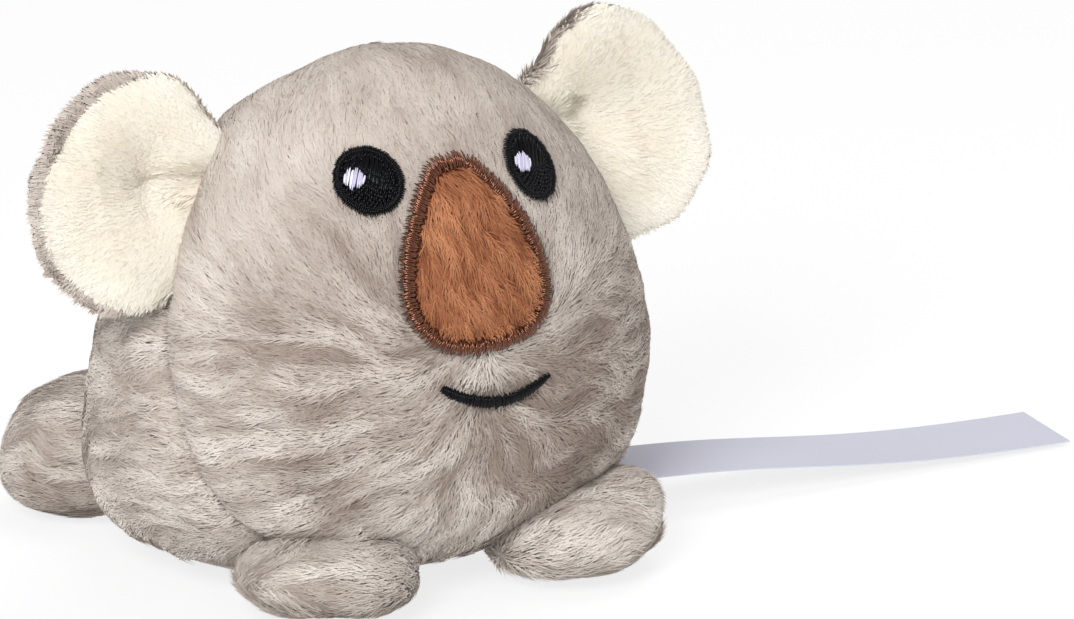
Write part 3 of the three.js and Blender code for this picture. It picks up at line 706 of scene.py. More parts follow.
def satin_material(name, shade):
    """Polyester satin ribbon, woven: long floats along it give a soft streaked gloss."""
    material, tree, shader = surface(name, Roughness=0.38, Specular_IOR_Level=0.5, Anisotropic=0.5,
                                     Sheen_Weight=0.15)
    place = coordinates(tree, "UV")
    weft = add(tree, "ShaderNodeTexWave", {"bands_direction": "X"}, {
        "Vector": place, "Scale": RIBBON_LENGTH / (0.5 * MM) / 20, "Distortion": 0.4})
    fine = add(tree, "ShaderNodeTexNoise", {}, {"Vector": place, "Scale": 260.0, "Detail": 3.0})
    shaded(tree, shader, fine.outputs["Fac"], darker(shade, 0.93), shade)
    bumped(tree, shader, weft.outputs["Fac"], 0.06, 0.02 * MM)
    return material


def cloth_material(name, shade, thread):
    """Woven or knitted cloth of a thread spacing."""
    material, tree, shader = surface(name, Roughness=0.9, Sheen_Weight=0.2)
    loops = add(tree, "ShaderNodeTexVoronoi", {}, {"Vector": coordinates(tree), "Scale": 1 / thread})
    shaded(tree, shader, loops.outputs["Distance"], shade, darker(shade, 0.7))
    bumped(tree, shader, loops.outputs["Distance"], 0.5, thread * 0.4)
    return material


def pellet_material(name, shade):
    """Polypropylene pellets, cut and tumbled: milky and slightly glossy."""
    material, tree, shader = surface(name, Roughness=0.35, Subsurface_Weight=0.2)
    cloud = add(tree, "ShaderNodeTexNoise", {}, {"Vector": coordinates(tree), "Scale": 1 / (1.5 * MM)})
    shaded(tree, shader, cloud.outputs["Fac"], shade, darker(shade, 0.85))
    return material


def dress(obj, material):
    obj.data.materials.clear()
    obj.data.materials.append(MATERIALS[material])
    return obj


# The body's form

def lean_at(z):
    return -BODY_LEAN * (z - BODY_WAIST_HEIGHT)


def lower_power(sine):
    return LOWER_FRONT_ROUNDNESS + (LOWER_REAR_ROUNDNESS - LOWER_FRONT_ROUNDNESS) * (0.5 + 0.5 * sine)


def reach_from_waist(above):
    return np.where(above, BODY_HEIGHT - BODY_WAIST_HEIGHT, BODY_WAIST_HEIGHT + SOLE_SINK)


def body_points(ball, offset):
    """The body's surface for points of a unit sphere, moved outwards by an offset."""
    across = np.maximum(np.hypot(ball[:, 0], ball[:, 1]), 1e-9)
    cosine, sine = ball[:, 0] / across, ball[:, 1] / across
    depth = np.where(sine < 0, BODY_FRONT_DEPTH, BODY_REAR_DEPTH) + offset
    above = ball[:, 2] >= 0
    power = np.where(above, UPPER_ROUNDNESS, lower_power(sine))
    reach = reach_from_waist(above) + offset
    z = BODY_WAIST_HEIGHT + np.sign(ball[:, 2]) * reach * np.abs(ball[:, 2]) ** power
    share = across ** power
    return np.stack([
        (BODY_HALF_WIDTH + offset) * share * cosine, depth * share * sine + lean_at(z), z], axis=1)


def body_level(points, offset):
    """Under 1 inside the body and over 1 outside it, judged level with each point."""
    x, y, z = points.T
    local = y - lean_at(z)
    depth = np.where(local < 0, BODY_FRONT_DEPTH, BODY_REAR_DEPTH) + offset
    angle = np.arctan2(local / depth, x / (BODY_HALF_WIDTH + offset))
    above = z >= BODY_WAIST_HEIGHT
    power = np.where(above, UPPER_ROUNDNESS, lower_power(np.sin(angle)))
    reach = reach_from_waist(above) + offset
    rise = np.clip(np.abs(z - BODY_WAIST_HEIGHT) / reach, 0, 1) ** (1 / power)
    share = np.maximum(np.sqrt(1 - rise ** 2) ** power, 1e-6)
    return np.hypot(x / (BODY_HALF_WIDTH + offset), local / depth) / share


def front_y(x, z):
    """Depth of the plush on the toy's front at x and z."""
    above = z >= BODY_WAIST_HEIGHT
    power = np.where(above, UPPER_ROUNDNESS, LOWER_FRONT_ROUNDNESS)
    rise = (np.abs(z - BODY_WAIST_HEIGHT) / reach_from_waist(above)) ** (1 / power)
    share = np.sqrt(np.maximum(1 - rise ** 2, 1e-9)) ** power
    inner = np.sqrt(np.maximum(1 - (x / (BODY_HALF_WIDTH * share)) ** 2, 1e-9))
    return -BODY_FRONT_DEPTH * share * inner + lean_at(z)


def front_slopes(x, z):
    step = 0.3 * MM
    return (
        (front_y(x + step, z) - front_y(x - step, z)) / (2 * step),
        (front_y(x, z + step) - front_y(x, z - step)) / (2 * step),
    )


def front_normals(x, z):
    slope_x, slope_z = front_slopes(x, z)
    return unit(np.stack([slope_x, -np.ones_like(slope_x), slope_z], axis=1))


def on_front(x, z, offset):
    """Points on the toy's front at x and z, moved out of the plush by an offset."""
    return np.stack([x, front_y(x, z), z], axis=1) + front_normals(x, z) * offset


def face_seam_y(z):
    return FACE_SEAM_FOOT_Y + FACE_SEAM_SLOPE * z


FACE_SEAM = ((0, FACE_SEAM_FOOT_Y, 0), Vector((0, 1, -FACE_SEAM_SLOPE)).normalized())
SOLE_SEAM = ((0, 0, SOLE_SEAM_HEIGHT), Vector((0, 0, 1)))
BACK_SEAM = ((0, 0, 0), Vector((1, 0, 0)))


def from_plane(points, plane):
    return (points - np.array(plane[0])) @ np.array(plane[1])


# Outlines of the face

def turned(x, z, angle):
    return x * math.cos(angle) - z * math.sin(angle), x * math.sin(angle) + z * math.cos(angle)


def nose_outline(inset, count=96):
    angle = np.linspace(0, 2 * math.pi, count, endpoint=False)
    rise, round_ = np.sin(angle), np.abs(np.cos(angle))
    upper = round_ ** NOSE_TIP_ROUNDNESS * (1 - NOSE_TAPER * rise ** 2)
    across = np.where(rise > 0, upper, round_ ** NOSE_FOOT_ROUNDNESS)
    x = np.sign(np.cos(angle)) * (NOSE_HALF_WIDTH - inset) * across
    x += NOSE_FOOT_SKEW * np.maximum(0, -rise)
    z = (np.where(rise > 0, NOSE_RISE, NOSE_DROP) - inset) * rise
    x, z = turned(x, z, NOSE_TILT)
    return np.stack([x + NOSE_SHIFT, z + NOSE_WIDEST_HEIGHT], axis=1)


def eye_frame(side):
    """Where an eye sits on the plush, with its own across, up and outward directions."""
    x = np.array([side * EYE_X + EYES_SHIFT])
    z = np.array([EYE_HEIGHT - side * EYES_TILT])
    out = front_normals(x, z)[0]
    turn = Vector((0, -1, 0)).rotation_difference(Vector(out))
    return on_front(x, z, 0)[0], np.array(turn @ Vector((1, 0, 0))), np.array(turn @ Vector((0, 0, 1))), out


def on_eye(side, across, up, offset):
    """Points and directions on the plush at places in an eye's own frame."""
    place, right, top, out = eye_frame(side)
    points = place + across[:, None] * right + up[:, None] * top
    for _ in range(3):
        slope_x, slope_z = front_slopes(points[:, 0], points[:, 2])
        steep = np.sqrt(slope_x ** 2 + slope_z ** 2 + 1)
        points -= ((front_y(points[:, 0], points[:, 2]) - points[:, 1]) / steep)[:, None] * out
    return on_front(points[:, 0], points[:, 2], offset), front_normals(points[:, 0], points[:, 2])


def ellipse(width, tallness, lean, count):
    angle = np.linspace(0, 2 * math.pi, count, endpoint=False)
    return turned(width / 2 * np.cos(angle), tallness / 2 * np.sin(angle), lean)


def eye_outline(side, inset):
    across, up = ellipse(EYE_WIDTH - 2 * inset, EYE_TALLNESS - 2 * inset, EYE_LEANS[side], 48)
    return on_eye(side, across, up, 0)[0][:, [0, 2]]


def mouth_line(along):
    """x and z of the mouth's middle line, from -1 at the toy's right end to 1."""
    return (
        MOUTH_SHIFT + along * MOUTH_HALF_WIDTH,
        MOUTH_END_HEIGHT - MOUTH_TILT * along - MOUTH_DROP * (1 - along ** 2),
    )


def mouth_half(along):
    """Half the mouth's thickness at places on its line: its ends are finer."""
    return MOUTH_THICKNESS / 2 * (0.45 + 0.55 * np.sqrt(1 - along ** 2))


def mouth_outline(grow_by):
    along = np.linspace(-1, 1, 24)
    x, z = mouth_line(along * (1 + grow_by / MOUTH_HALF_WIDTH))
    half = mouth_half(along) + grow_by
    return np.concatenate([np.stack([x, z - half], axis=1), np.stack([x, z + half], axis=1)[::-1]])


def covered(points, grow_by):
    """Which points of the front lie under the embroidery, with its outlines grown."""
    x, y, z = points.T
    found = inside(nose_outline(-grow_by), x, z) | inside(mouth_outline(grow_by), x, z)
    for side in (1, -1):
        found |= inside(eye_outline(side, -grow_by), x, z)
    return found & (y < 0)


# Plush pieces

BODY_HEART = np.array([0, 0, 22 * MM])
FACE_CENTRE = np.array([0, -30 * MM, 33 * MM])
CHIN = np.array([8 * MM, -28 * MM, 16 * MM])
CHIN_SPREAD = 13 * MM


def swayed(lay, points, normals, turn, size, seed):
    """A lay that bends smoothly to and fro as it goes."""
    bend = turn * ripple(points, size, seed)
    return lay * np.cos(bend)[:, None] + np.cross(normals, lay) * np.sin(bend)[:, None]


def body_lay(points, normals):
    """The way the pile lies: away from the nose over the face, and down the back."""
    away = unit(points - FACE_CENTRE)
    upwards = points[:, 2] > FACE_CENTRE[2]
    away[:, 2] *= np.where(upwards, 2.6, 0.45)
    down = ease(points[:, 1], -2 * MM, 24 * MM)[:, None]
    away = away * (1 - down) + np.array([0, 0.2, -1]) * down
    away[:, 2] -= 1.5 * (1 - ease(points[:, 2], SOLE_SEAM_HEIGHT, 11 * MM))
    chin = near(points, CHIN, CHIN_SPREAD)
    lay = swayed(along_surface(away, normals), points, normals, 0.3 + 0.3 * chin, 13 * MM, 5)
    return swayed(lay, points, normals, 0.3 + 0.5 * chin, 5 * MM, 6)


# Patches of painted shade and painted light on the grey pile: darker under the chin, on the cheek at the
# toy's left, over the top of the head, beside and below the nose and in a small fold low at the toy's right;
# lighter on the brow and low cheek at the toy's right and low in front
PAINTED_SHADE_AND_LIGHT = (
    # place, how far it spreads, and how much painted shade (below 0) or painted light (above 0) the pile
    # gets there
    ((11 * MM, -30 * MM, 19 * MM), 13 * MM, -0.5),
    ((-17 * MM, -14 * MM, 51 * MM), 9 * MM, 0.26),
    ((24 * MM, -18 * MM, 26 * MM), 11 * MM, -0.28),
    ((0 * MM, -19 * MM, 58 * MM), 11 * MM, -0.08),
    ((-25 * MM, -21 * MM, 27 * MM), 8 * MM, 0.12),
    ((-15 * MM, -27 * MM, 39 * MM), 10 * MM, -0.36),
    ((-15 * MM, -27 * MM, 21 * MM), 8 * MM, -0.26),
    ((-4 * MM, -28 * MM, 10 * MM), 7 * MM, 0.3),
    ((-17 * MM, -25 * MM, 14.5 * MM), 2.8 * MM, -0.2),
)


def body_tone_and_painted_light(points):
    """A little tone at random, and over it the patches of painted shade and painted light listed above."""
    shade = 0.08 * ripple(points, 9 * MM, 7)
    for place, spread, change in PAINTED_SHADE_AND_LIGHT:
        shade += change * near(points, place, spread)
    return shade


BODY_SWELLS = (
    # place, how far it spreads, and how far the stuffing pushes the plush out or a fold draws it in
    ((31 * MM, -12 * MM, 24 * MM), 12 * MM, 0.6 * MM),
    ((-17 * MM, -2 * MM, 55 * MM), 6 * MM, 0.9 * MM),
    ((-19.5 * MM, -23.8 * MM, 15.7 * MM), 2.3 * MM, -0.9 * MM),
    ((-16.5 * MM, -25.2 * MM, 14.3 * MM), 2.3 * MM, -0.9 * MM),
    ((-13 * MM, -26 * MM, 12.5 * MM), 2.3 * MM, -0.7 * MM),
)


def body_contrast(points):
    """The pile lies smooth over the forehead and in ridges low down, where its tone and painted shade vary
    more too.
    """
    return 1.25 - 0.85 * ease(points[:, 2], 26 * MM, 50 * MM)


def body_sheet(name, backing_depth):
    """The plush's backing all round the body, with the stuffing's lumps."""
    obj = sphere(name, BODY_SIDES, BODY_RINGS)
    ball = unit(coords(obj))
    points = body_points(ball, -backing_depth)
    put(obj, points)
    lumps = 0.28 * MM * ripple(points, 17 * MM, 1) + 0.1 * MM * ripple(points, 6 * MM, 2)
    for place, spread, height in BODY_SWELLS:
        lumps += height * near(points, place, spread)
    return put(obj, points + directions(obj) * lumps[:, None])


def sink(obj, planes, depth, width):
    """Draws a sheet in along its seams, and less so over the top of the head, where it is stretched."""
    points, normals = coords(obj), directions(obj)
    for plane in planes:
        close = np.exp(-(from_plane(points, plane) / width) ** 2)
        tight = 1 - 0.7 * ease(points[:, 2], 34 * MM, 52 * MM)
        points -= normals * (depth * close * tight)[:, None]
    return put(obj, points)


def turn_in(obj):
    """Turns the cut edges of a sheet inwards, as the seam allowance."""
    before = len(obj.data.vertices)

    def extrude_rim():
        bpy.ops.mesh.select_all(action="DESELECT")
        bpy.ops.mesh.select_mode(type="EDGE")
        bpy.ops.mesh.select_non_manifold(
            extend=False, use_wire=False, use_boundary=True, use_multi_face=False,
            use_non_contiguous=False, use_verts=False)
        bpy.ops.mesh.extrude_region_move()

    edit(obj, extrude_rim)
    points = coords(obj)
    points[before:] += unit(BODY_HEART - points[before:]) * SEAM_ALLOWANCE
    return put(obj, points)


def finish_panel(obj, node):
    turn_in(obj)
    modify(obj, "SOLIDIFY", thickness=PLUSH_CLOTH, offset=-1)
    tidy(obj)
    smooth(obj)
    dress(obj, "grey_backing")
    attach(obj, "body")
    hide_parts(node)


PANELS = {
    "face_panel": [(FACE_SEAM, -1), (SOLE_SEAM, 1)],
    "back_panel_left": [(FACE_SEAM, 1), (SOLE_SEAM, 1), (BACK_SEAM, 1)],
    "back_panel_right": [(FACE_SEAM, 1), (SOLE_SEAM, 1), (BACK_SEAM, -1)],
}


class KOALA_OT_body(bpy.types.Operator):
    """Sews the body's three plush panels and grows their pile."""
    bl_idname = "koala.body"
    bl_label = "Body Plush"

    def execute(self, context):
        for number, (node, cuts) in enumerate(PANELS.items()):
            self.panel(context.scene.koala_plush, node, cuts, 10 + number)
        return {"FINISHED"}

    def panel(self, plush, node, cuts, seed):
        sheet = body_sheet(f"{node}_plush", plush.backing_depth)
        for plane, keep in cuts:
            cut(sheet, *plane, keep)
        seams = [plane for plane, _ in cuts if plane is not SOLE_SEAM]
        sink(sheet, seams, plush.seam_depth, plush.seam_width)
        roots, normals = scatter(sheet, plush.fibre_spacing, seed)
        order = np.argsort(roots[:, 0] if node == "face_panel" else roots[:, 2])
        roots, normals = roots[order], normals[order]
        fibres = (roots, normals, *self.pile_sizes(plush, roots, seams))
        if node == "face_panel":
            fibres = self.clear_embroidery(*fibres)
        roots, normals, reach, rise = fibres
        for pile in grow_all(f"{node}_pile", roots, normals, body_lay, reach, rise, plush.fibre_width,
                             20, contrast=body_contrast, shade_at=body_tone_and_painted_light):
            dress(pile, "grey_pile")
            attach(pile, "body")
        finish_panel(sheet, node)

    def pile_sizes(self, plush, roots, seams):
        """The fibres' lengths and rises. A fringe hangs over the pad's seam, less so at the toy's right."""
        reach = np.full(len(roots), plush.pile_length)
        rise = np.full(len(roots), plush.pile_rise)
        nearest = np.min([np.abs(from_plane(roots, plane)) for plane in seams], axis=0)
        rise *= between(SEAM_RISE_SHARE, 1, ease(nearest, 0, SEAM_RISE_SPREAD))
        rise *= between(1, FOREHEAD_RISE_SHARE, ease(roots[:, 2], *FOREHEAD_HEIGHTS))
        reach *= between(SEAM_LENGTH_SHARE, 1, ease(nearest, 0, SEAM_LENGTH_SPREAD))
        fringe = 1 - ease(roots[:, 2], *FRINGE_HEIGHTS)
        fringe *= between(1, FRINGE_RIGHT_SHARE, ease(-roots[:, 0], *FRINGE_RIGHT_PLACES))
        return reach + fringe * FRINGE_LENGTH, rise + fringe * FRINGE_RISE

    def clear_embroidery(self, roots, normals, reach, rise):
        """Lets no fibre reach over the embroidery, and few grow under it."""
        tips = roots + body_lay(roots, normals) * reach[:, None]
        under, out = covered(roots, 0), ~covered(tips, 0)
        reach = np.where(~under & ~out, reach * CROPPED_SHARE, reach)
        rise = np.where(under, rise * PRESSED_SHARE, rise)
        chosen = ~under | (out & ~covered(roots, -BARE_INSET))
        return [values[chosen] for values in (roots, normals, reach, rise)]


class KOALA_OT_pad(bpy.types.Operator):
    """Makes the microfibre cleaning pad on the underside."""
    bl_idname = "koala.pad"
    bl_label = "Cleaning Pad"

    def execute(self, context):
        pad = body_sheet("cleaning_sole_cloth", PAD_INSET)
        cut(pad, *SOLE_SEAM, -1)
        sink(pad, [SOLE_SEAM], 1.2 * MM, 1.0 * MM)
        points = coords(pad)
        points[:, 2] = np.maximum(points[:, 2], PAD_CLEARANCE)
        put(pad, points)
        turn_in(pad)
        modify(pad, "SOLIDIFY", thickness=PAD_CLOTH, offset=-1)
        smooth(tidy(pad))
        dress(pad, "microfibre")
        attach(pad, "body")
        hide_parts("cleaning_sole")
        return {"FINISHED"}


# Ears and feet

SIDES = ((1, "left"), (-1, "right"))


def joint(name):
    return next(j for j in frame["joints"] if j["name"] == name)


def cut_by_body(obj):
    """Cuts off what lies inside the body, so that a limb starts at the plush."""
    cutter = sphere("body_cutter", 64, 48)
    put(cutter, body_points(unit(coords(cutter)), -PANEL_INSET))
    modify(obj, "BOOLEAN", operation="DIFFERENCE", solver="EXACT", object=cutter)
    bpy.data.objects.remove(cutter)
    return obj


def bend_from_body(obj, body, hinge, start, end):
    """Bakes a limb's place into its mesh. It works out the joint's place and axis and the way out from the
    body, but does not use them.
    """
    pos, axis = Vector(hinge["pos_m"]), Vector(hinge["axis"]).normalized()
    out = Vector((pos.x, 0, 0)) if "ear" in body else Vector((pos.x, pos.y, 0))
    out = (out - axis * out.dot(axis)).normalized()
    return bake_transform(obj)


def ear_radius(angle, word):
    radius = EAR_RADIUS * (1 + EAR_LOBE * np.cos(angle - EAR_LOBE_ANGLE) ** 3)
    for middle, spread, change in EAR_UNEVENNESS[word]:
        radius = radius + change * np.exp(-((angle - math.radians(middle)) / math.radians(spread)) ** 2)
    return radius


def ear_roll(angle, word):
    """How far the grey ply rolls round the rim to the front, at an angle from outwards to upwards."""
    width, low, high = EAR_ROLLS[word]
    return width * ease(angle, low, low + EAR_ROLL_FADE) * (1 - ease(angle, high - EAR_ROLL_FADE, high))


def ear_points(ball, ply, word):
    """An ear ply for points of a unit sphere whose poles lie across the ear, at the toy's left."""
    out_share, up_share, thick = ball[:, 0], -ball[:, 1], ball[:, 2]
    angle, spread = np.arctan2(up_share, out_share), np.hypot(out_share, up_share)
    roll = ear_roll(angle, word)
    rim = ear_radius(angle, word) - EAR_BACKING_DEPTH + 0.35 * MM * np.sin(7 * angle + 1) * np.sin(3 * angle)
    radius = (rim - roll * 0.85 * (ply == "front")) * spread
    out, up = radius * np.cos(angle), radius * np.sin(angle)
    z = EAR_CENTRE_HEIGHT + up
    from_root = np.maximum(0, out + EAR_RADIUS / 2)
    pleat = np.exp(-(up / EAR_PLEAT_WIDTH) ** 2) * np.exp(-(from_root / EAR_PLEAT_REACH) ** 2)
    pleat *= ease(from_root, 0, 6 * MM)
    cup = EAR_CUP * (np.hypot(out, up) / EAR_RADIUS) ** 3
    middle = face_seam_y(z) + EAR_SWEEP * from_root - cup + EAR_PLEAT_DEPTH * pleat
    if ply == "front":
        crease = np.exp(-((up - EAR_CREASE_HEIGHT) / (0.8 * MM)) ** 2)
        middle += EAR_CREASE_DEPTH * crease * (1 - ease(from_root, 3.5 * MM, 7 * MM))
    root = np.clip((out + EAR_RADIUS / 2) / EAR_ROOT_BLEND, 0, 1)
    plump = EAR_ROOT_THICKNESS_SHARE + (1 - EAR_ROOT_THICKNESS_SHARE) * root
    plump *= np.abs(thick) ** EAR_PLUMPNESS
    if ply == "front":
        front, back, shift = EAR_FRONT_THICKNESS - EAR_BACKING_DEPTH, 0, -0.15 * MM
    else:
        lip = np.minimum(1, roll / MM) * ease(spread, 0.78, 0.92)
        front, back, shift = 1.2 * MM * lip, EAR_BACK_THICKNESS - EAR_BACKING_DEPTH, 0.15 * MM
    depth = np.where(thick < 0, -front * plump, back * plump)
    return np.stack([EAR_CENTRE_X + out, middle + shift + depth, z], axis=1)


def mirrored(points, side):
    return points * [side, 1, 1]


def ear_polar(points):
    """How far points lie outwards and upwards from an ear's centre, their distance and their angle."""
    out, up = np.abs(points[:, 0]) - EAR_CENTRE_X, points[:, 2] - EAR_CENTRE_HEIGHT
    return out, up, np.hypot(out, up), np.arctan2(up, out)


def ear_painted_shade_and_light(points):
    """Painted shade over the middle of the cream pile, where the ear is cupped, and painted light towards
    the rim.
    """
    return 0.4 * ease(ear_polar(points)[2], EAR_RADIUS * 0.5, EAR_RADIUS) - 0.15


EAR_PLIES = {
    # the pile's colour and slot, its width as a share of the body's, and how it grows
    "front": ("cream", "cream_plush", 1.3, {
        "seed": 50, "gather": 0.06 * MM, "stray": 0.25, "contrast": 0.5, "shade_at": ear_painted_shade_and_light,
        "lock_share": 0.6}),
    "back": ("grey", "plush", 1.1, {"seed": 51, "gather": 0.05 * MM, "stray": 0.12, "lock_share": 0.35}),
}


class KOALA_OT_ears(bpy.types.Operator):
    """Makes each ear of a cream ply in front and a grey ply behind, and grows their pile."""
    bl_idname = "koala.ears"
    bl_label = "Ears"

    def execute(self, context):
        for side, word in SIDES:
            for number, ply in enumerate(EAR_PLIES):
                self.ply(context.scene.koala_plush, side, word, ply, 40 + number)
        return {"FINISHED"}

    def ply(self, plush, side, word, ply, seed):
        front = ply == "front"
        shade, slot, breadth, growth = EAR_PLIES[ply]
        root_point = np.array([
            side * (EAR_CENTRE_X - 0.8 * EAR_RADIUS), (-5 if front else 4) * MM, EAR_CENTRE_HEIGHT])

        def lay_at(points, normals):
            return swayed(along_surface(points - root_point, normals), points, normals, 0.3, 5 * MM, 45)

        sheet = sphere(f"ear_{ply}_{word}_plush", 96, 56)
        points = mirrored(ear_points(unit(coords(sheet)), ply, word), side)
        put(sheet, points + [0, 0.3 * MM, 0] * ripple(points, 9 * MM, 44)[:, None])
        if side < 0:
            edit(sheet, lambda: bpy.ops.mesh.flip_normals())
        roots, normals = scatter(sheet, plush.fibre_spacing * 0.85, seed)
        if front:
            chosen = normals[:, 1] < 0.2
        else:
            _, _, spread, angle = ear_polar(roots)
            edge = ear_radius(angle, word) - EAR_BACKING_DEPTH - ear_roll(angle, word)
            chosen = (normals[:, 1] > -0.3) | (spread > edge)
        chosen &= body_level(roots, -plush.backing_depth) > 0.96
        roots, normals = roots[chosen], normals[chosen]

        # A fibre ends at the rim, a little further out for the ply that shows there
        out, up, spread, angle = ear_polar(roots)
        lay = lay_at(roots, normals)
        outwards = (lay[:, 0] * side * out + lay[:, 2] * up) / spread
        cover = EAR_COVER * (1 - ear_roll(angle, word) / EAR_ROLLS[word][0])
        fuzz = EAR_FUZZ + cover * (1 if front else -1)
        room = (ear_radius(angle, word) + fuzz - spread) / np.maximum(outwards, 0.3)
        reach = np.clip(room, 0.5 * MM, plush.ear_pile_length if front else plush.pile_length)
        reach = np.minimum(reach, 2.2 * MM - 1 * MM * ease(spread, EAR_RADIUS * 0.75, EAR_RADIUS))
        rise = np.full(len(roots), EAR_PILE_RISE if front else plush.pile_rise * 0.8)
        piles = grow_all(f"ear_{ply}_{word}_pile", roots, normals, lay_at, reach, rise,
                         plush.fibre_width * breadth, **growth)
        cut_by_body(sheet)
        smooth(tidy(sheet))
        dress(sheet, f"{shade}_backing")
        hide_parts(f"ear_{ply}_{word}")
        for pile in piles:
            dress(pile, f"{shade}_pile")
        for obj in (sheet, *piles):
            bend_from_body(obj, f"ear_{word}", joint(f"ear_{word}_bend"), *EAR_BEND)


def foot_points(ball, foot, inset):
    """A foot's pod for points of a unit sphere, at the toy's left."""
    heading = math.atan2(foot["y"] - lean_at(0), foot["x"])
    across = np.hypot(ball[:, 0], ball[:, 1]) ** FOOT_FLATNESS
    angle = np.arctan2(ball[:, 1], ball[:, 0])
    out = (foot["length"] / 2 - inset) * across * np.cos(angle)
    aside = (foot["width"] / 2 - inset) * across * np.sin(angle)
    share = np.where(ball[:, 2] < 0, FOOT_SEAM_SHARE, 1 - FOOT_SEAM_SHARE)
    high = (foot["height"] * share - inset) * np.sign(ball[:, 2]) * np.abs(ball[:, 2]) ** FOOT_FLATNESS
    high -= foot["sag"] * np.maximum(0, -ball[:, 2]) ** 0.5
    return np.stack([
        foot["x"] + out * math.cos(heading) - aside * math.sin(heading),
        foot["y"] + out * math.sin(heading) + aside * math.cos(heading),
        FOOT_LIFT + foot["height"] * FOOT_SEAM_SHARE + high,
    ], axis=1)


def foot_pod(name, kind, side, inset):
    """A foot's closed pod, inset from the frame's plush."""
    pod = sphere(name, 56, 40)
    points = mirrored(foot_points(unit(coords(pod)), FEET[kind], inset), side)
    points[:, 2] += 0.25 * MM * ripple(points, 8 * MM, 60 + list(FEET).index(kind))
    for place, spread, height in FOOT_TUFTS.get(f"{kind}_{'left' if side > 0 else 'right'}", ()):
        points += unit(points - points.mean(axis=0)) * (height * near(points, place, spread))[:, None]
    put(pod, points)
    if side < 0:
        edit(pod, lambda: bpy.ops.mesh.flip_normals())
    return pod


class KOALA_OT_feet(bpy.types.Operator):
    """Makes each foot of an upper and a lower piece of plush, and grows their pile."""
    bl_idname = "koala.feet"
    bl_label = "Feet"

    def execute(self, context):
        for kind in FEET:
            for side, word in SIDES:
                self.foot(context.scene.koala_plush, kind, side, word)
        return {"FINISHED"}

    def foot(self, plush, kind, side, word):
        foot, number = FEET[kind], list(FEET).index(kind)
        seam = ((0, 0, FOOT_LIFT + foot["height"] * FOOT_SEAM_SHARE), Vector((0, 0, 1)))
        hinge = joint(f"{kind}_{word}_flex")
        out = np.array([side * foot["x"], foot["y"] - lean_at(0), 0])
        out /= np.linalg.norm(out)
        aside = np.array([-out[1] * side, out[0] * side, 0.1])
        comb = aside + 0.25 * out if kind == "front_foot" else out

        def lay_at(points, normals):
            away = 0.5 * unit((points - hinge["pos_m"]) * [1, 1, 0.4]) + comb
            lay = swayed(along_surface(away, normals), points, normals, 0.55, 8 * MM, 80)
            return swayed(lay, points, normals, 0.3, 4 * MM, 81)

        for part, keep in (("top", 1), ("bottom", -1)):
            name = f"{kind}_{word}_{part}"
            sheet = foot_pod(f"{name}_plush", kind, side, FOOT_BACKING_DEPTH)
            roots, normals = scatter(sheet, plush.fibre_spacing, 70 + number)
            chosen = body_level(roots, -plush.backing_depth) > 1
            chosen &= from_plane(roots, seam) * keep > 0
            roots, normals = roots[chosen], normals[chosen]
            rise = np.minimum(plush.pile_rise * 1.2, np.maximum(roots[:, 2] - 0.4 * MM, 0.3 * MM))
            reach = np.full(len(roots), plush.pile_length * 1.1)
            # Its pile gets the painted light or painted shade that FEET gives the foot
            piles = grow_all(f"{name}_pile", roots, normals, lay_at, reach, rise, plush.fibre_width,
                             90 + number, contrast=1.3, shade_at=lambda points: foot["shade"])
            cut_by_body(sheet)
            cut(sheet, *seam, keep)
            modify(sheet, "SOLIDIFY", thickness=FOOT_CLOTH, offset=-1)
            smooth(tidy(sheet))
            dress(sheet, "grey_backing")
            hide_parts(name)
            for pile in piles:
                dress(pile, "grey_pile")
            for obj in (sheet, *piles):
                bend_from_body(obj, f"{kind}_{word}", hinge, *FOOT_BEND)
        stuffing = cut_by_body(foot_pod(f"{kind}_{word}_wadding", kind, side, FOOT_STUFFING_DEPTH))
        smooth(tidy(stuffing))
        dress(stuffing, "wadding")
        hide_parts(f"{kind}_{word}_filling")
        bend_from_body(stuffing, f"{kind}_{word}", hinge, *FOOT_BEND)


# Embroidery

def satin(name, starts, ends, up, width, arch, seed):
    """A row of satin stitches, each from a start to an end over the plush."""
    rng = np.random.default_rng(seed)
    span = ends - starts
    forward = along_surface(span, up)
    reach = np.linalg.norm(span, axis=1)
    placed = copies(
        FORMS["stitch"], starts, forward, up, reach, width, width * 0.8,
        lambda along: (arch * rng.uniform(0.85, 1.1, len(starts))[:, None]
                       * np.sqrt(1 - (2 * along - 1) ** 2)))
    tones = rng.uniform(0.25, 0.75, len(starts))[:, None] * np.ones(placed.shape[1])
    return joined(name, placed, FORMS["stitch"], tones)


def fuse(name, pieces):
    """Joins several meshes of one thread into one piece."""
    deselect()
    for piece in pieces:
        piece.select_set(True)
    bpy.context.view_layer.objects.active = pieces[0]
    bpy.ops.object.join()
    pieces[0].name = pieces[0].data.name = name
    return pieces[0]


def spaced(outline, spacing):
    """Points spread evenly along a closed outline."""
    closed = np.vstack([outline, outline[:1]])
    steps = np.linalg.norm(np.diff(closed, axis=0), axis=1)
    sums = np.concatenate([[0], np.cumsum(steps)])
    places = np.linspace(0, sums[-1], int(sums[-1] / spacing), endpoint=False)
    return np.stack([np.interp(places, sums, closed[:, i]) for i in range(2)], axis=1)


def outward(line):
    """The direction out of a closed line at each of its points."""
    along = np.roll(line, -1, axis=0) - np.roll(line, 1, axis=0)
    return unit(np.stack([along[:, 1], -along[:, 0]], axis=1))


def finish_stitching(obj, thread, node):
    dress(obj, thread)
    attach(obj, "body")
    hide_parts(node)


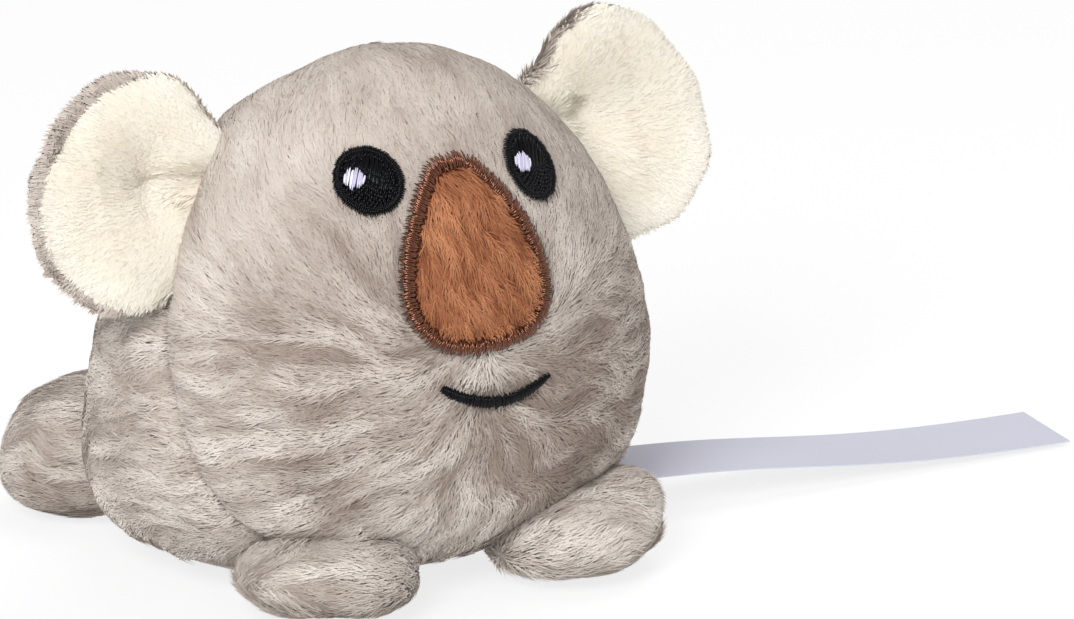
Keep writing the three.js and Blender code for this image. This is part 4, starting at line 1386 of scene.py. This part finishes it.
class KOALA_OT_nose(bpy.types.Operator):
    """Sews the brown nose patch on, with its satin stitched border."""
    bl_idname = "koala.nose"
    bl_label = "Nose"

    def execute(self, context):
        self.border(context.scene.koala_thread)
        self.patch(context.scene.koala_plush)
        return {"FINISHED"}

    def border(self, thread):
        """Stitches across the patch's edge, over long ones that run along it and pad them."""
        rng = np.random.default_rng(101)
        half = NOSE_BORDER_WIDTH / 2
        middle = spaced(nose_outline(half), thread.thread_spacing * 0.85)
        out = outward(middle)
        ragged = rng.normal(0, 0.09 * MM, (2, len(middle)))
        lean = rng.normal(0, 0.2, len(middle))[:, None] * np.stack([-out[:, 1], out[:, 0]], axis=1)
        inner = middle - out * (half + 0.05 * MM + ragged[0])[:, None] - lean * half
        wider = NOSE_BORDER_SPREAD * np.maximum(0, -out[:, 0])
        outer = middle + out * (half + 0.25 * MM + wider + ragged[1])[:, None] + lean * half
        top = satin(
            "nose_border_top", on_front(*inner.T, -STITCH_ROOT), on_front(*outer.T, -STITCH_ROOT),
            front_normals(*middle.T), thread.thread_width * 0.85, thread.border_arch, 102)
        line = spaced(nose_outline(half), 1.1 * MM)
        heads = on_front(*line.T, -0.75 * MM)
        under = satin(
            "nose_border_under", heads, np.roll(heads, -2, axis=0), front_normals(*line.T), 1.5 * MM,
            0.1 * MM, 103)
        finish_stitching(fuse("nose_border_stitching", [top, under]), "brown_thread", "nose_border")

    def patch(self, plush):
        """A padded piece of brown plush that bulges inside its border."""
        rim = nose_outline(NOSE_BORDER_WIDTH * 0.7, 256)
        centre = rim.mean(axis=0)
        rim_angle = np.arctan2(rim[:, 1] - centre[1], rim[:, 0] - centre[0])
        order = np.argsort(rim_angle)
        rim_radius = np.linalg.norm(rim - centre, axis=1)

        patch = sphere("nose_patch_plush", 64, 24)
        ball = coords(patch)
        angle = np.arctan2(ball[:, 1], ball[:, 0])
        spread = np.hypot(ball[:, 0], ball[:, 1])
        spread *= np.interp(angle, rim_angle[order], rim_radius[order], period=2 * math.pi)
        x, z = centre[0] + spread * np.cos(angle), centre[1] + spread * np.sin(angle)
        bulge = 0.75 * MM * np.maximum(0, ball[:, 2]) ** 0.8 - 0.35 * MM * np.maximum(0, -ball[:, 2]) ** 0.5
        put(patch, on_front(x, z, -0.75 * MM) + front_normals(x, z) * bulge[:, None])
        tidy(patch)
        roots, normals = scatter(patch, plush.fibre_spacing * 0.8, 104)
        chosen = np.sum(normals * front_normals(roots[:, 0], roots[:, 2]), axis=1) > 0.3
        roots, normals = roots[chosen], normals[chosen]

        def lay_at(points, normals):
            across = 0.35 + (points[:, 0] - centre[0]) / (14 * MM)
            lay = np.stack([across, np.zeros(len(points)), -np.ones(len(points))], axis=1)
            return swayed(along_surface(lay, normals), points, normals, 0.45, 5 * MM, 105)

        tips = roots + lay_at(roots, normals) * BROWN_PILE_LENGTH
        over = ~inside(nose_outline(NOSE_BORDER_WIDTH * 0.85), tips[:, 0], tips[:, 2])
        reach = np.where(over, 0.8 * MM, BROWN_PILE_LENGTH)
        pile = grow("nose_patch_pile", roots, normals, lay_at, reach, 0.75 * MM, plush.fibre_width * 0.8,
                    106, ridge=0.4 * MM, contrast=1.5)
        dress(pile, "brown_pile")
        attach(pile, "body")
        smooth(patch)
        dress(patch, "brown_backing")
        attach(patch, "body")
        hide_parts("nose_patch")


class KOALA_OT_eyes(bpy.types.Operator):
    """Embroiders the eyes: a satin rim, a filling of steep stitches and a white glint."""
    bl_idname = "koala.eyes"
    bl_label = "Eyes"

    def execute(self, context):
        thread = context.scene.koala_thread
        for side, word in SIDES:
            self.rim(side, word, thread.thread_width * 0.9, thread.thread_spacing * 0.9)
            self.fill(side, word, thread.thread_width * 0.9)
            self.glint(side, word, thread.thread_width * 0.9)
        return {"FINISHED"}

    def rim(self, side, word, width, spacing):
        rng = np.random.default_rng(110 + side)
        line = self.oval(EYE_WIDTH - EYE_RIM_WIDTH, EYE_TALLNESS - EYE_RIM_WIDTH, EYE_LEANS[side], 96)
        line = spaced(line, spacing)
        out = outward(line)
        half = EYE_RIM_WIDTH / 2 + 0.1 * MM
        ragged = rng.normal(0, 0.07 * MM, (2, len(line)))
        inner, outer = line - out * (half + ragged[0])[:, None], line + out * (half + ragged[1])[:, None]
        starts, _ = on_eye(side, *inner.T, -0.4 * MM)
        ends, _ = on_eye(side, *outer.T, -0.45 * MM)
        _, normals = on_eye(side, *line.T, 0)
        rim = satin(f"eye_rim_{word}_stitching", starts, ends, normals, width, 0.4 * MM, 111 + side)
        finish_stitching(rim, "black_thread", f"eye_rim_{word}")

    def fill(self, side, word, width):
        """Fine steep stitches over a padding of thick ones."""
        size = (v - 2 * EYE_RIM_WIDTH + 0.5 * MM for v in (EYE_WIDTH, EYE_TALLNESS))
        outline = self.oval(*size, EYE_LEANS[side], 64)
        fill = self.rows_of_stitches(
            f"eye_{word}_stitching", side, outline, width, EYE_ROW_SPACING, EYE_STITCH_LENGTH, -0.3 * MM,
            113 + side)
        under = self.rows_of_stitches(
            f"eye_{word}_under", side, outline * 0.97, 0.8 * MM, 0.5 * MM, LONG_STITCH, -0.7 * MM,
            117 + side)
        finish_stitching(fuse(f"eye_{word}_stitching", [fill, under]), "black_thread", f"eye_{word}")

    def glint(self, side, word, width):
        outline = self.oval(GLINT_WIDTH, GLINT_TALLNESS, 0, 32) + [GLINT_SHIFT_X, GLINT_SHIFT_UP]
        glint = self.rows_of_stitches(
            f"eye_glint_{word}_stitching", side, outline, width, 0.2 * MM, LONG_STITCH, -0.05 * MM,
            119 + side, ragged=0.22 * MM)
        finish_stitching(glint, "white_thread", f"eye_glint_{word}")

    def oval(self, width, tallness, lean, count):
        return np.stack(ellipse(width, tallness, lean, count), axis=1)

    def rows_of_stitches(self, name, side, outline, width, spacing, reach, offset, seed, ragged=0.05 * MM):
        """Steep rows of stitches across an outline in the eye's own frame, laid like bricks."""
        rng = np.random.default_rng(seed)
        starts, ends = [], []
        c, s = math.cos(EYE_STITCH_SLOPE), math.sin(EYE_STITCH_SLOPE)
        turn = np.array([[c, s], [-s, c]])
        level = outline @ turn.T
        for row, up in enumerate(np.arange(level[:, 1].min() + spacing / 2, level[:, 1].max(), spacing)):
            x0, x1 = row_ends(level, up)
            if x1 - x0 < 0.3 * MM:
                continue
            x0, x1 = x0 - abs(rng.normal(0, ragged)), x1 + abs(rng.normal(0, ragged))
            first = x0 - (row * 0.41 % 1) * reach if reach < x1 - x0 else x0
            for i in range(math.ceil((x1 - first) / reach)):
                a, b = max(x0, first + i * reach), min(x1, first + (i + 1) * reach)
                if b - a > 0.25 * MM:
                    starts.append((a, up + rng.normal(0, 0.05 * MM)))
                    ends.append((b, up + rng.normal(0, 0.05 * MM)))
        starts, ends = np.array(starts) @ turn, np.array(ends) @ turn
        first, normals = on_eye(side, *starts.T, offset)
        last, _ = on_eye(side, *ends.T, offset)
        return satin(name, first, last, normals, width, 0.12 * MM, seed + 50)


def row_ends(outline, up):
    """Where a level line at a height enters and leaves a closed outline."""
    crossings = [
        x0 + (up - z0) / (z1 - z0) * (x1 - x0)
        for (x0, z0), (x1, z1) in zip(outline, np.roll(outline, -1, axis=0)) if (z0 > up) != (z1 > up)]
    return (min(crossings), max(crossings)) if crossings else (0, 0)


class KOALA_OT_mouth(bpy.types.Operator):
    """Embroiders the smile in satin stitch, over a padding of long stitches."""
    bl_idname = "koala.mouth"
    bl_label = "Mouth"

    def execute(self, context):
        thread = context.scene.koala_thread
        rng = np.random.default_rng(130)
        count = int(2.15 * MOUTH_HALF_WIDTH / (thread.thread_spacing * 0.85))
        along = np.linspace(-1, 1, count)
        x, z = mouth_line(along)
        half = mouth_half(along) + rng.normal(0, 0.08 * MM, count)
        slope = np.gradient(z, x)
        across = np.stack([-slope, np.ones(count)], axis=1) / np.hypot(1, slope)[:, None]
        across[:, 0] += rng.normal(0.12, 0.06, count)
        middle = np.stack([x, z], axis=1)
        low, high = middle - across * half[:, None], middle + across * half[:, None]
        top = satin("mouth_top", on_front(*low.T, -0.4 * MM), on_front(*high.T, -0.4 * MM),
                    front_normals(x, z), thread.thread_width, 0.4 * MM, 131)
        heads, tails = middle[:-6:5], middle[6::5]
        under = satin("mouth_under", on_front(*heads.T, -0.6 * MM), on_front(*tails.T, -0.6 * MM),
                      front_normals(*heads.T), 0.9 * MM, 0.1 * MM, 132)
        finish_stitching(fuse("mouth_satin_stitching", [top, under]), "black_thread", "mouth_stitching")
        return {"FINISHED"}


class KOALA_OT_ribbon(bpy.types.Operator):
    """Makes the satin ribbon that sticks out of the toy's left side."""
    bl_idname = "koala.ribbon"
    bl_label = "Ribbon"

    def execute(self, context):
        hinge = Vector(joint("ribbon_swing")["pos_m"])
        deselect()
        bpy.ops.mesh.primitive_grid_add(x_subdivisions=90, y_subdivisions=14, size=1)
        ribbon = bpy.context.object
        ribbon.name = ribbon.data.name = "ribbon_satin"
        points = coords(ribbon)
        share, across = points[:, 0] + 0.5, points[:, 1] * RIBBON_WIDTH
        heading = np.array([math.cos(RIBBON_YAW), math.sin(RIBBON_YAW), 0])
        arch = RIBBON_ARCH * np.exp(-((share - RIBBON_ARCH_SHARE) / RIBBON_ARCH_SPREAD) ** 2)
        droop = RIBBON_FALL * share - RIBBON_RECOVERY * share ** 2
        twist = RIBBON_ROOT_TWIST + RIBBON_END_TWIST * share ** 3
        aside = np.stack([-math.sin(RIBBON_YAW) * np.cos(twist), math.cos(RIBBON_YAW) * np.cos(twist),
                          np.sin(twist)], axis=1)
        ribbon_length = RIBBON_LENGTH + RIBBON_SPARE
        line = np.array(hinge) + heading * (share * ribbon_length - RIBBON_TUCK)[:, None]
        line[:, 2] += RIBBON_ROOT_LIFT + arch - droop
        put(ribbon, line + aside * across[:, None])
        modify(ribbon, "SOLIDIFY", thickness=context.scene.koala_ribbon.thickness, offset=0)
        smooth(ribbon, 40)
        dress(ribbon, "satin")
        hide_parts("ribbon")
        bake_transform(ribbon)
        return {"FINISHED"}


class KOALA_OT_inside(bpy.types.Operator):
    """Gives what is inside the toy its own finishes."""
    bl_idname = "koala.inside"
    bl_label = "Stuffing and Pellets"

    def execute(self, context):
        finishes = {
            "fibre_filling": ("wadding", "polyester_fibre"),
            "pellet_bag_top": ("bag_cloth", "bag_cloth"),
            "pellet_bag_bottom": ("bag_cloth", "bag_cloth"),
            "pellet_fill": ("pellets", "plastic_pellets"),
        }
        for node, (material, slot) in finishes.items():
            dress(frame["nodes"][node], material)
        return {"FINISHED"}


PLUSH_SHEENS = {"grey": 0.25, "cream": 0.3, "brown": 0.15}
THREADS = {
    # roughness, gloss, and the tint of the highlights
    "black": (0.19, 0.14, "#dfe3ea"),
    "brown": (0.24, 0.72, "#ffb898"),
    "white": (0.24, 0.4, "#ffffff"),
}


class KOALA_OT_materials(bpy.types.Operator):
    """Makes the materials and the small forms that repeat."""
    bl_idname = "koala.materials"
    bl_label = "Materials"

    def execute(self, context):
        scene = context.scene
        plush, thread, ribbon = scene.koala_plush, scene.koala_thread, scene.koala_ribbon
        for shade, sheen in PLUSH_SHEENS.items():
            colours = [getattr(plush, f"{shade}_{level}") for level in ("root", "middle", "tip")]
            MATERIALS[f"{shade}_pile"] = pile_material(f"{shade}_plush_pile", *colours, sheen)
            # A backing's colour lies between its pile's root and middle, so it carries the painted shade of
            # the pile's depth
            MATERIALS[f"{shade}_backing"] = cloth_material(
                f"{shade}_knitted_backing", tuple((a + 3 * b) / 4 for a, b in zip(*colours[:2])), 0.4 * MM)
        for shade, (roughness, gloss, tint) in THREADS.items():
            MATERIALS[f"{shade}_thread"] = thread_material(
                f"{shade}_rayon_thread", getattr(thread, shade), roughness, gloss, linear(tint))
        MATERIALS["satin"] = satin_material("woven_polyester_satin", ribbon.satin)
        MATERIALS["microfibre"] = cloth_material("knitted_microfibre", ribbon.microfibre, 0.5 * MM)
        MATERIALS["bag_cloth"] = cloth_material("woven_cotton_lining", linear("#e9e6df"), 0.4 * MM)
        MATERIALS["wadding"] = cloth_material("carded_polyester_wadding", linear("#f4f2ee"), 1.2 * MM)
        MATERIALS["pellets"] = pellet_material("tumbled_polypropylene_pellets", linear("#dfe3e4"))
        FORMS["fibre"] = fibre_form()
        FORMS["stitch"] = stitch_form()
        return {"FINISHED"}


TOY_MIDDLE = Vector((0, 0, 30 * MM))
LAMPS = {
    # place, and the lamp's width
    "key": ((-0.52, -0.55, 0.54), 0.4),
    "top": ((0.25, 0.05, 0.95), 0.7),
    "fill": ((0.6, -0.55, 0.3), 0.6),
}

# The camera, in pixels of a picture 1074 wide. Its middle lies right of the toy's and below it
PICTURE_WIDTH = 1074
FOCAL_LENGTH = 5310.99
AIM_RIGHT = 176.96
AIM_DOWN = 17.42


class KOALA_OT_stage(bpy.types.Operator):
    """Sets up the camera, the floor and the soft studio light."""
    bl_idname = "koala.stage"
    bl_label = "Stage"

    def execute(self, context):
        stage = context.scene.koala_stage
        self.camera(stage)
        self.floor(stage)
        for name, (place, size) in LAMPS.items():
            self.lamp(name, place, size, getattr(stage, f"{name}_power"))
        world = bpy.data.worlds.new("sky")
        context.scene.world = world
        world.use_nodes = True
        tree = world.node_tree
        background = tree.nodes["Background"]
        path = add(tree, "ShaderNodeLightPath", {}, {})
        strength = add(tree, "ShaderNodeMix", {"data_type": "FLOAT"}, {
            "Factor": path.outputs["Is Camera Ray"], "A": stage.sky, "B": 1.0})
        background.inputs["Color"].default_value = (1, 1, 1, 1)
        tree.links.new(strength.outputs["Result"], background.inputs["Strength"])
        context.scene.view_settings.view_transform = "Standard"
        return {"FINISHED"}

    def camera(self, stage):
        """Aims the camera past the toy's middle, so that the ribbon comes into the picture too."""
        sin_a, cos_a = math.sin(stage.azimuth), math.cos(stage.azimuth)
        sin_e, cos_e = math.sin(stage.elevation), math.cos(stage.elevation)
        back = Vector((sin_a * cos_e, -cos_a * cos_e, sin_e))
        level = Vector((cos_a, sin_a, 0))
        upright = back.cross(level)
        right = level * math.cos(stage.roll) + upright * math.sin(stage.roll)
        up = upright * math.cos(stage.roll) - level * math.sin(stage.roll)
        aim = (-back * FOCAL_LENGTH + right * AIM_RIGHT - up * AIM_DOWN).normalized()
        data = bpy.data.cameras.new("camera")
        data.sensor_width = 36
        data.lens = 36 * math.hypot(FOCAL_LENGTH, AIM_RIGHT, AIM_DOWN) / PICTURE_WIDTH
        data.clip_start, data.clip_end = 0.01, 20
        camera = bpy.data.objects.new("camera", data)
        across = aim.cross(up).normalized()
        turn = Matrix((across, across.cross(aim), -aim)).transposed().to_4x4()
        camera.matrix_world = Matrix.Translation(TOY_MIDDLE + back * stage.distance) @ turn
        bpy.context.scene.collection.objects.link(camera)
        bpy.context.scene.camera = camera

    def floor(self, stage):
        """Plain pale paper. It shows near white to the camera, keeps the shadow, and is clear from below."""
        deselect()
        bpy.ops.mesh.primitive_plane_add(size=8)
        floor = bpy.context.object
        floor.name = "floor"
        material, tree, shader = surface("matt_paper", Roughness=0.9, Specular_IOR_Level=0.1)
        shader.inputs["Base Color"].default_value = rgba(stage.paper)
        path = add(tree, "ShaderNodeLightPath", {}, {})
        seen = add(tree, "ShaderNodeMath", {"operation": "MAXIMUM"}, {
            0: path.outputs["Is Camera Ray"], 1: path.outputs["Is Glossy Ray"]})
        share = add(tree, "ShaderNodeMath", {"operation": "MULTIPLY"}, {0: seen.outputs[0], 1: 0.8})
        glow = add(tree, "ShaderNodeEmission", {}, {"Color": (1, 1, 1, 1), "Strength": 1.0})
        lit = add(tree, "ShaderNodeMixShader", {}, {
            0: share.outputs[0], 1: shader.outputs["BSDF"], 2: glow.outputs["Emission"]})
        clear = add(tree, "ShaderNodeBsdfTransparent", {}, {})
        below = add(tree, "ShaderNodeNewGeometry", {}, {}).outputs["Backfacing"]
        whole = add(tree, "ShaderNodeMixShader", {}, {
            0: below, 1: lit.outputs["Shader"], 2: clear.outputs["BSDF"]})
        tree.links.new(whole.outputs["Shader"], tree.nodes["Material Output"].inputs["Surface"])
        floor.data.materials.append(material)

    def lamp(self, name, place, size, watts):
        data = bpy.data.lights.new(name, "AREA")
        data.shape, data.size, data.energy = "DISK", size, watts
        lamp = bpy.data.objects.new(name, data)
        lamp.location = place
        lamp.rotation_euler = (TOY_MIDDLE - Vector(place)).to_track_quat("-Z", "Y").to_euler()
        bpy.context.scene.collection.objects.link(lamp)


class KOALA_PT_panel(bpy.types.Panel):
    """Lists the steps that dress the koala."""
    bl_label = "Koala"
    bl_idname = "KOALA_PT_panel"
    bl_space_type = "VIEW_3D"
    bl_region_type = "UI"
    bl_category = "Koala"

    def draw(self, context):
        for operator in STEPS:
            self.layout.operator(operator.bl_idname)
        for name, group in SETTINGS.items():
            box = self.layout.box()
            for key in group.__annotations__:
                box.prop(getattr(context.scene, name), key)


STEPS = (
    KOALA_OT_stage, KOALA_OT_materials, KOALA_OT_body, KOALA_OT_pad, KOALA_OT_ears, KOALA_OT_feet,
    KOALA_OT_nose, KOALA_OT_eyes, KOALA_OT_mouth, KOALA_OT_ribbon, KOALA_OT_inside,
)
SETTINGS = {
    "koala_plush": KoalaPlush,
    "koala_thread": KoalaThread,
    "koala_ribbon": KoalaRibbon,
    "koala_stage": KoalaStage,
}


def register():
    for cls in (*SETTINGS.values(), *STEPS, KOALA_PT_panel):
        bpy.utils.register_class(cls)
    for name, group in SETTINGS.items():
        setattr(bpy.types.Scene, name, PointerProperty(type=group))


def unregister():
    for name in SETTINGS:
        delattr(bpy.types.Scene, name)
    for cls in reversed((*SETTINGS.values(), *STEPS, KOALA_PT_panel)):
        bpy.utils.unregister_class(cls)


def main():
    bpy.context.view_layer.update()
    register()
    for step in STEPS:
        area, name = step.bl_idname.split(".")
        getattr(getattr(bpy.ops, area), name)()


if __name__ == "__main__":
    main()
